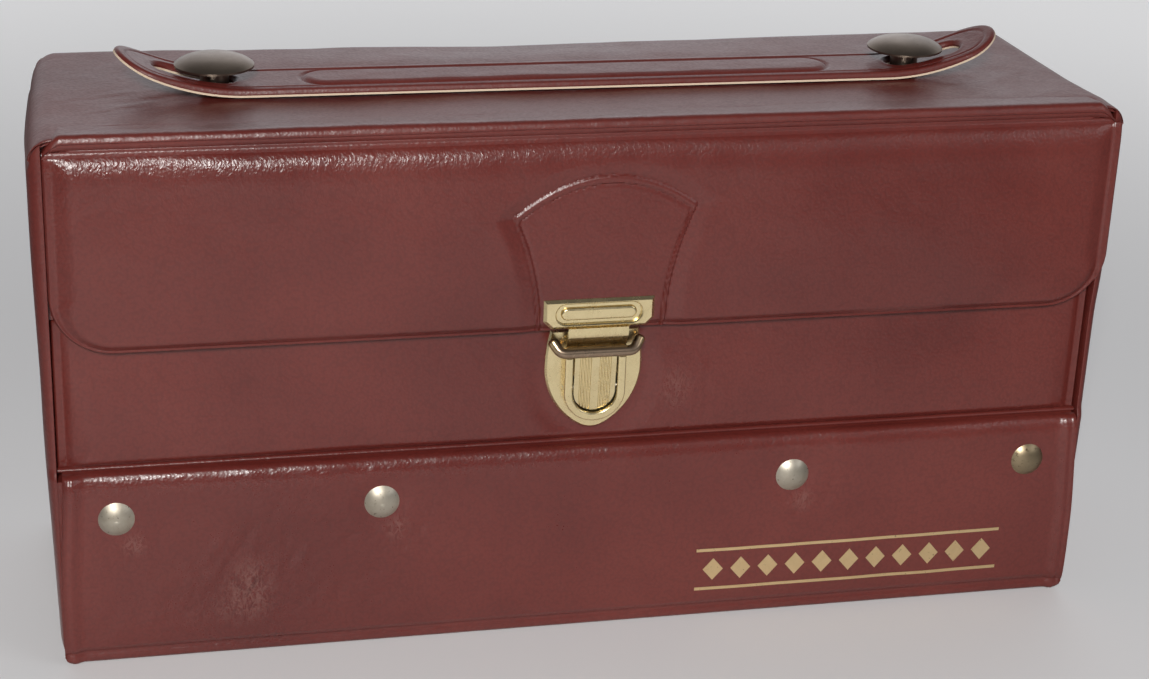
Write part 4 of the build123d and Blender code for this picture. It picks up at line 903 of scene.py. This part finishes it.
def strap_layer(name, top, bottom, material):
    """The strap's vinyl, or its backing, from tip to tip with both slots.

    top and bottom give its heights at s along the strap and t across it.
    """
    near_in, near_out = SLOT_IN + SLOT_HALF, SLOT_OUT - SLOT_HALF
    half = stations((0.0, 58.0, 1.2), (58.0, 76.0, 0.5), (76.0, 88.0, 0.8), (88.0, SLOT_IN, 0.5),
                    (SLOT_IN, near_in, 0.35), (near_in, near_out, 0.7), (near_out, SLOT_OUT, 0.35),
                    (SLOT_OUT, 119.0, 0.6), (119.0, TIP, 0.22))
    ss = np.r_[-half[:0:-1], half]
    rows = counted((0, 0.45, 8), (0.45, 1.0, 34))
    verts, faces, index = [], [], {}

    def vertex(s, t, layer):
        key = (round(float(s), 4), round(float(t), 4), layer)
        if key not in index:
            height = float((top if layer else bottom)(np.array(s), np.array(t)))
            tilt = float(strap_tilt(s))
            rise = STRAP_LOW + float(strap_rise(s))
            index[key] = len(verts)
            verts.append((s - math.sin(tilt) * height, t, rise + math.cos(tilt) * height))
        return index[key]

    def wall(p, q, flip):
        ring = (vertex(*p, 1), vertex(*q, 1), vertex(*q, 0), vertex(*p, 0))
        faces.append(ring[::-1] if flip else ring)

    for a, b in zip(ss[:-1], ss[1:]):
        for sign in (-1, 1):
            cols = []
            for s in (a, b):
                inner, outer = float(slot_half(s)), float(strap_outer(s))
                cols.append([(s, sign * (inner + (outer - inner) * r)) for r in rows])
            for (p0, p1), (q0, q1) in zip(zip(cols[0][:-1], cols[0][1:]), zip(cols[1][:-1], cols[1][1:])):
                quad = [p0, q0, q1, p1] if sign > 0 else [p1, q1, q0, p0]
                faces.append(tuple(vertex(*p, 1) for p in quad))
                faces.append(tuple(vertex(*p, 0) for p in quad[::-1]))
            rims = [(cols[0][-1], cols[1][-1])]
            if slot_half(a) + slot_half(b) > 0:
                rims.append((cols[1][0], cols[0][0]))
            for p, q in rims:
                wall(p, q, sign > 0)
    for s in (ss[0], ss[-1]):
        outer = float(strap_outer(s))
        ts = [outer * r for r in rows]
        ts = [-t for t in ts[:0:-1]] + ts
        for t0, t1 in zip(ts[:-1], ts[1:]):
            wall((s, t0), (s, t1), s > 0)
    faces = [tuple(dict.fromkeys(f)) for f in faces]
    faces = [f for f in faces if len(f) > 2]
    obj = make_object(name, verts, faces, material, 55)
    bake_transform(obj)
    return obj


strap = strap_layer("handle_strap", lambda s, t: BACKING + strap_top(s, t), lambda s, t: BACKING + 0 * s,
                    MAT_STRAP)
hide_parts("strap_left", "strap_right", "grip_left", "grip_right")
backing = strap_layer("handle_backing", lambda s, t: BACKING - 0.002 + 0 * s, lambda s, t: 0 * s - 0.05,
                      MAT_CREAM)
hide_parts("backing_left", "backing_right")

# ---- gold border printed on the band ----
band_points = np.array([tuple(v.co) for v in band_cover.data.vertices])[: len(band_cover.data.vertices) // 2]
PRINT_LIFT, PRINT_THICK = 0.09, 0.15
PRINT_LEFT, PRINT_RIGHT, RULE_LOW, RULE_HIGH, RULE_THICK = 31.0, 121.0, 8.5, 20.6, 0.9
LOZENGES, LOZENGE_FIRST, LOZENGE_STEP, LOZENGE_Z = 11, 36.0, 8.0, 15.0
LOZENGE_HALF_W, LOZENGE_HALF_H, LOZENGE_TIP = 2.9, 3.4, 0.02


def band_face(px, pz):
    """Y of the band's face at this X and Z, in millimetres."""
    near = np.hypot(band_points[:, 0] / MM - px, band_points[:, 2] / MM - pz)
    best = np.argsort(near)[:4]
    weight = 1 / (near[best] + 1e-3)
    return float((band_points[best, 1] / MM * weight).sum() / weight.sum())


def foil(name, columns):
    """A thin printed shape laid on the band, from columns of (x, low z, high z)."""
    front = np.array([[(px, band_face(px, pz) - PRINT_LIFT, pz) for pz in ends] for px, *ends in columns])
    back = front.copy()
    back[..., 1] += PRINT_THICK
    obj = shell(name, front, back, MAT_PRINT)
    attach(obj, "case")


for name, low in (("print_rule_low", RULE_LOW), ("print_rule_high", RULE_HIGH)):
    across = np.linspace(PRINT_LEFT, PRINT_RIGHT, int((PRINT_RIGHT - PRINT_LEFT) / 2.0))
    foil(name, [(px, low, low + RULE_THICK) for px in across])
for k in range(LOZENGES):
    middle = LOZENGE_FIRST + k * LOZENGE_STEP
    columns = []
    for d in (-1, -0.5, 0, 0.5, 1):
        tall = (1 - abs(d)) * LOZENGE_HALF_H
        columns.append((middle + d * LOZENGE_HALF_W, LOZENGE_Z - tall - LOZENGE_TIP,
                        LOZENGE_Z + tall + LOZENGE_TIP))
    foil(f"print_lozenge_{k + 1}", columns)

# ---- stage, light and camera, in metres ----
# the camera sees a pale floor that glows away from the case; in reflections it is dark past a painted patch
# of light in front of the case
FLOOR_PALE, FLOOR_GLOW, GLOW_FROM, GLOW_FULL = (0.74, 0.74, 0.75), 0.34, 0.20, 0.80
floor_mat, tree, shader = new_material("pale_floor")
seen = camera_ray(tree)
place = node(tree, "ShaderNodeMapping", {"Vector": coords(tree), "Location": (0.05, 0.25, 0.0)})
far = node(tree, "ShaderNodeVectorMath", {0: place.outputs["Vector"]}, operation="LENGTH").outputs["Value"]
# painted light: in reflections the floor is bright within 0.2 m of a point in front of the case and dark past
# 0.4 m
painted_light_patch = ramp(tree, far, [(0.20, (0.92, 0.92, 0.92)), (0.40, (0.24, 0.24, 0.24))])
from_case = node(tree, "ShaderNodeVectorMath", {0: coords(tree)}, operation="LENGTH").outputs["Value"]
glow = span(tree, from_case, 0.0, FLOOR_GLOW, GLOW_FROM, GLOW_FULL, interpolation_type="SMOOTHSTEP")
feed(shader, {"Base Color": mix(tree, seen, painted_light_patch, FLOOR_PALE), "Roughness": 0.6,
              "Emission Color": (*WHITE, 1.0), "Emission Strength": maths(tree, "MULTIPLY", glow, seen)})
bpy.ops.mesh.primitive_plane_add(size=8.0, location=(0, 0, 0))
floor = bpy.context.object
floor.name = "floor"
floor.data.materials.append(floor_mat)

scene = bpy.context.scene
world = bpy.data.worlds.new("studio")
scene.world = world
world.use_nodes = True
tree = world.node_tree
sky = tree.nodes["Background"]
aim = node(tree, "ShaderNodeSeparateXYZ", {"Vector": coords(tree, "Generated")}).outputs


def half_way(value):
    """Maps -1..1 to 0..1."""
    return maths(tree, "MULTIPLY", maths(tree, "ADD", value, 1.0), 0.5)


# the camera sees an even grey; in reflections the room is bright behind the case and darker overhead
wall = ramp(tree, half_way(aim["Y"]), [(0.0, (0.16, 0.16, 0.17)), (0.50, (0.30, 0.30, 0.31)),
                                       (0.78, (1.0, 1.01, 1.04)), (1.0, (1.15, 1.15, 1.20))])
ceiling = ramp(tree, aim["Z"], [(0.42, WHITE), (0.72, (0.38, 0.38, 0.38))])
across = ramp(tree, half_way(aim["X"]), [(0.30, (0.55, 0.55, 0.55)), (0.50, (0.80, 0.80, 0.80)),
                                         (0.60, WHITE), (0.64, WHITE), (0.74, (0.66, 0.66, 0.66))])
room = mix(tree, 1.0, mix(tree, 1.0, wall, ceiling, "MULTIPLY"), across, "MULTIPLY")
feed(sky, {"Color": mix(tree, camera_ray(tree), room, (0.62, 0.62, 0.625)), "Strength": 1.0})


def area_light(name, place, aim, size, power, colour=(1, 1, 1)):
    data = bpy.data.lights.new(name, "AREA")
    data.shape = "RECTANGLE"
    data.size, data.size_y = size
    data.energy = power
    data.color = colour
    obj = bpy.data.objects.new(name, data)
    scene.collection.objects.link(obj)
    obj.location = place
    obj.rotation_mode = "QUATERNION"
    obj.rotation_quaternion = (Vector(aim) - Vector(place)).to_track_quat("-Z", "Y")


area_light("key", (-0.34, -1.22, 0.80), (0.02, 0, 0.07), (0.25, 0.25), 19.0, (1.0, 0.985, 0.96))
area_light("fill", (1.3, -1.2, 0.9), (0, 0, 0.07), (1.0, 0.8), 5.0, (0.97, 0.98, 1.0))

camera_data = bpy.data.cameras.new("camera")
camera = bpy.data.objects.new("camera", camera_data)
scene.collection.objects.link(camera)
# solved from the photograph: its place in metres and its turns in degrees
CAMERA_AT, CAMERA_TURN = (-0.14118, -0.60638, 0.32565), (67.547, -2.077, -12.627)
camera.location = CAMERA_AT
camera.rotation_euler = tuple(math.radians(a) for a in CAMERA_TURN)
camera_data.lens = 74.05
camera_data.sensor_width = 36.0
camera_data.clip_start, camera_data.clip_end = 0.01, 30.0
scene.camera = camera
scene.view_settings.view_transform = "Standard"
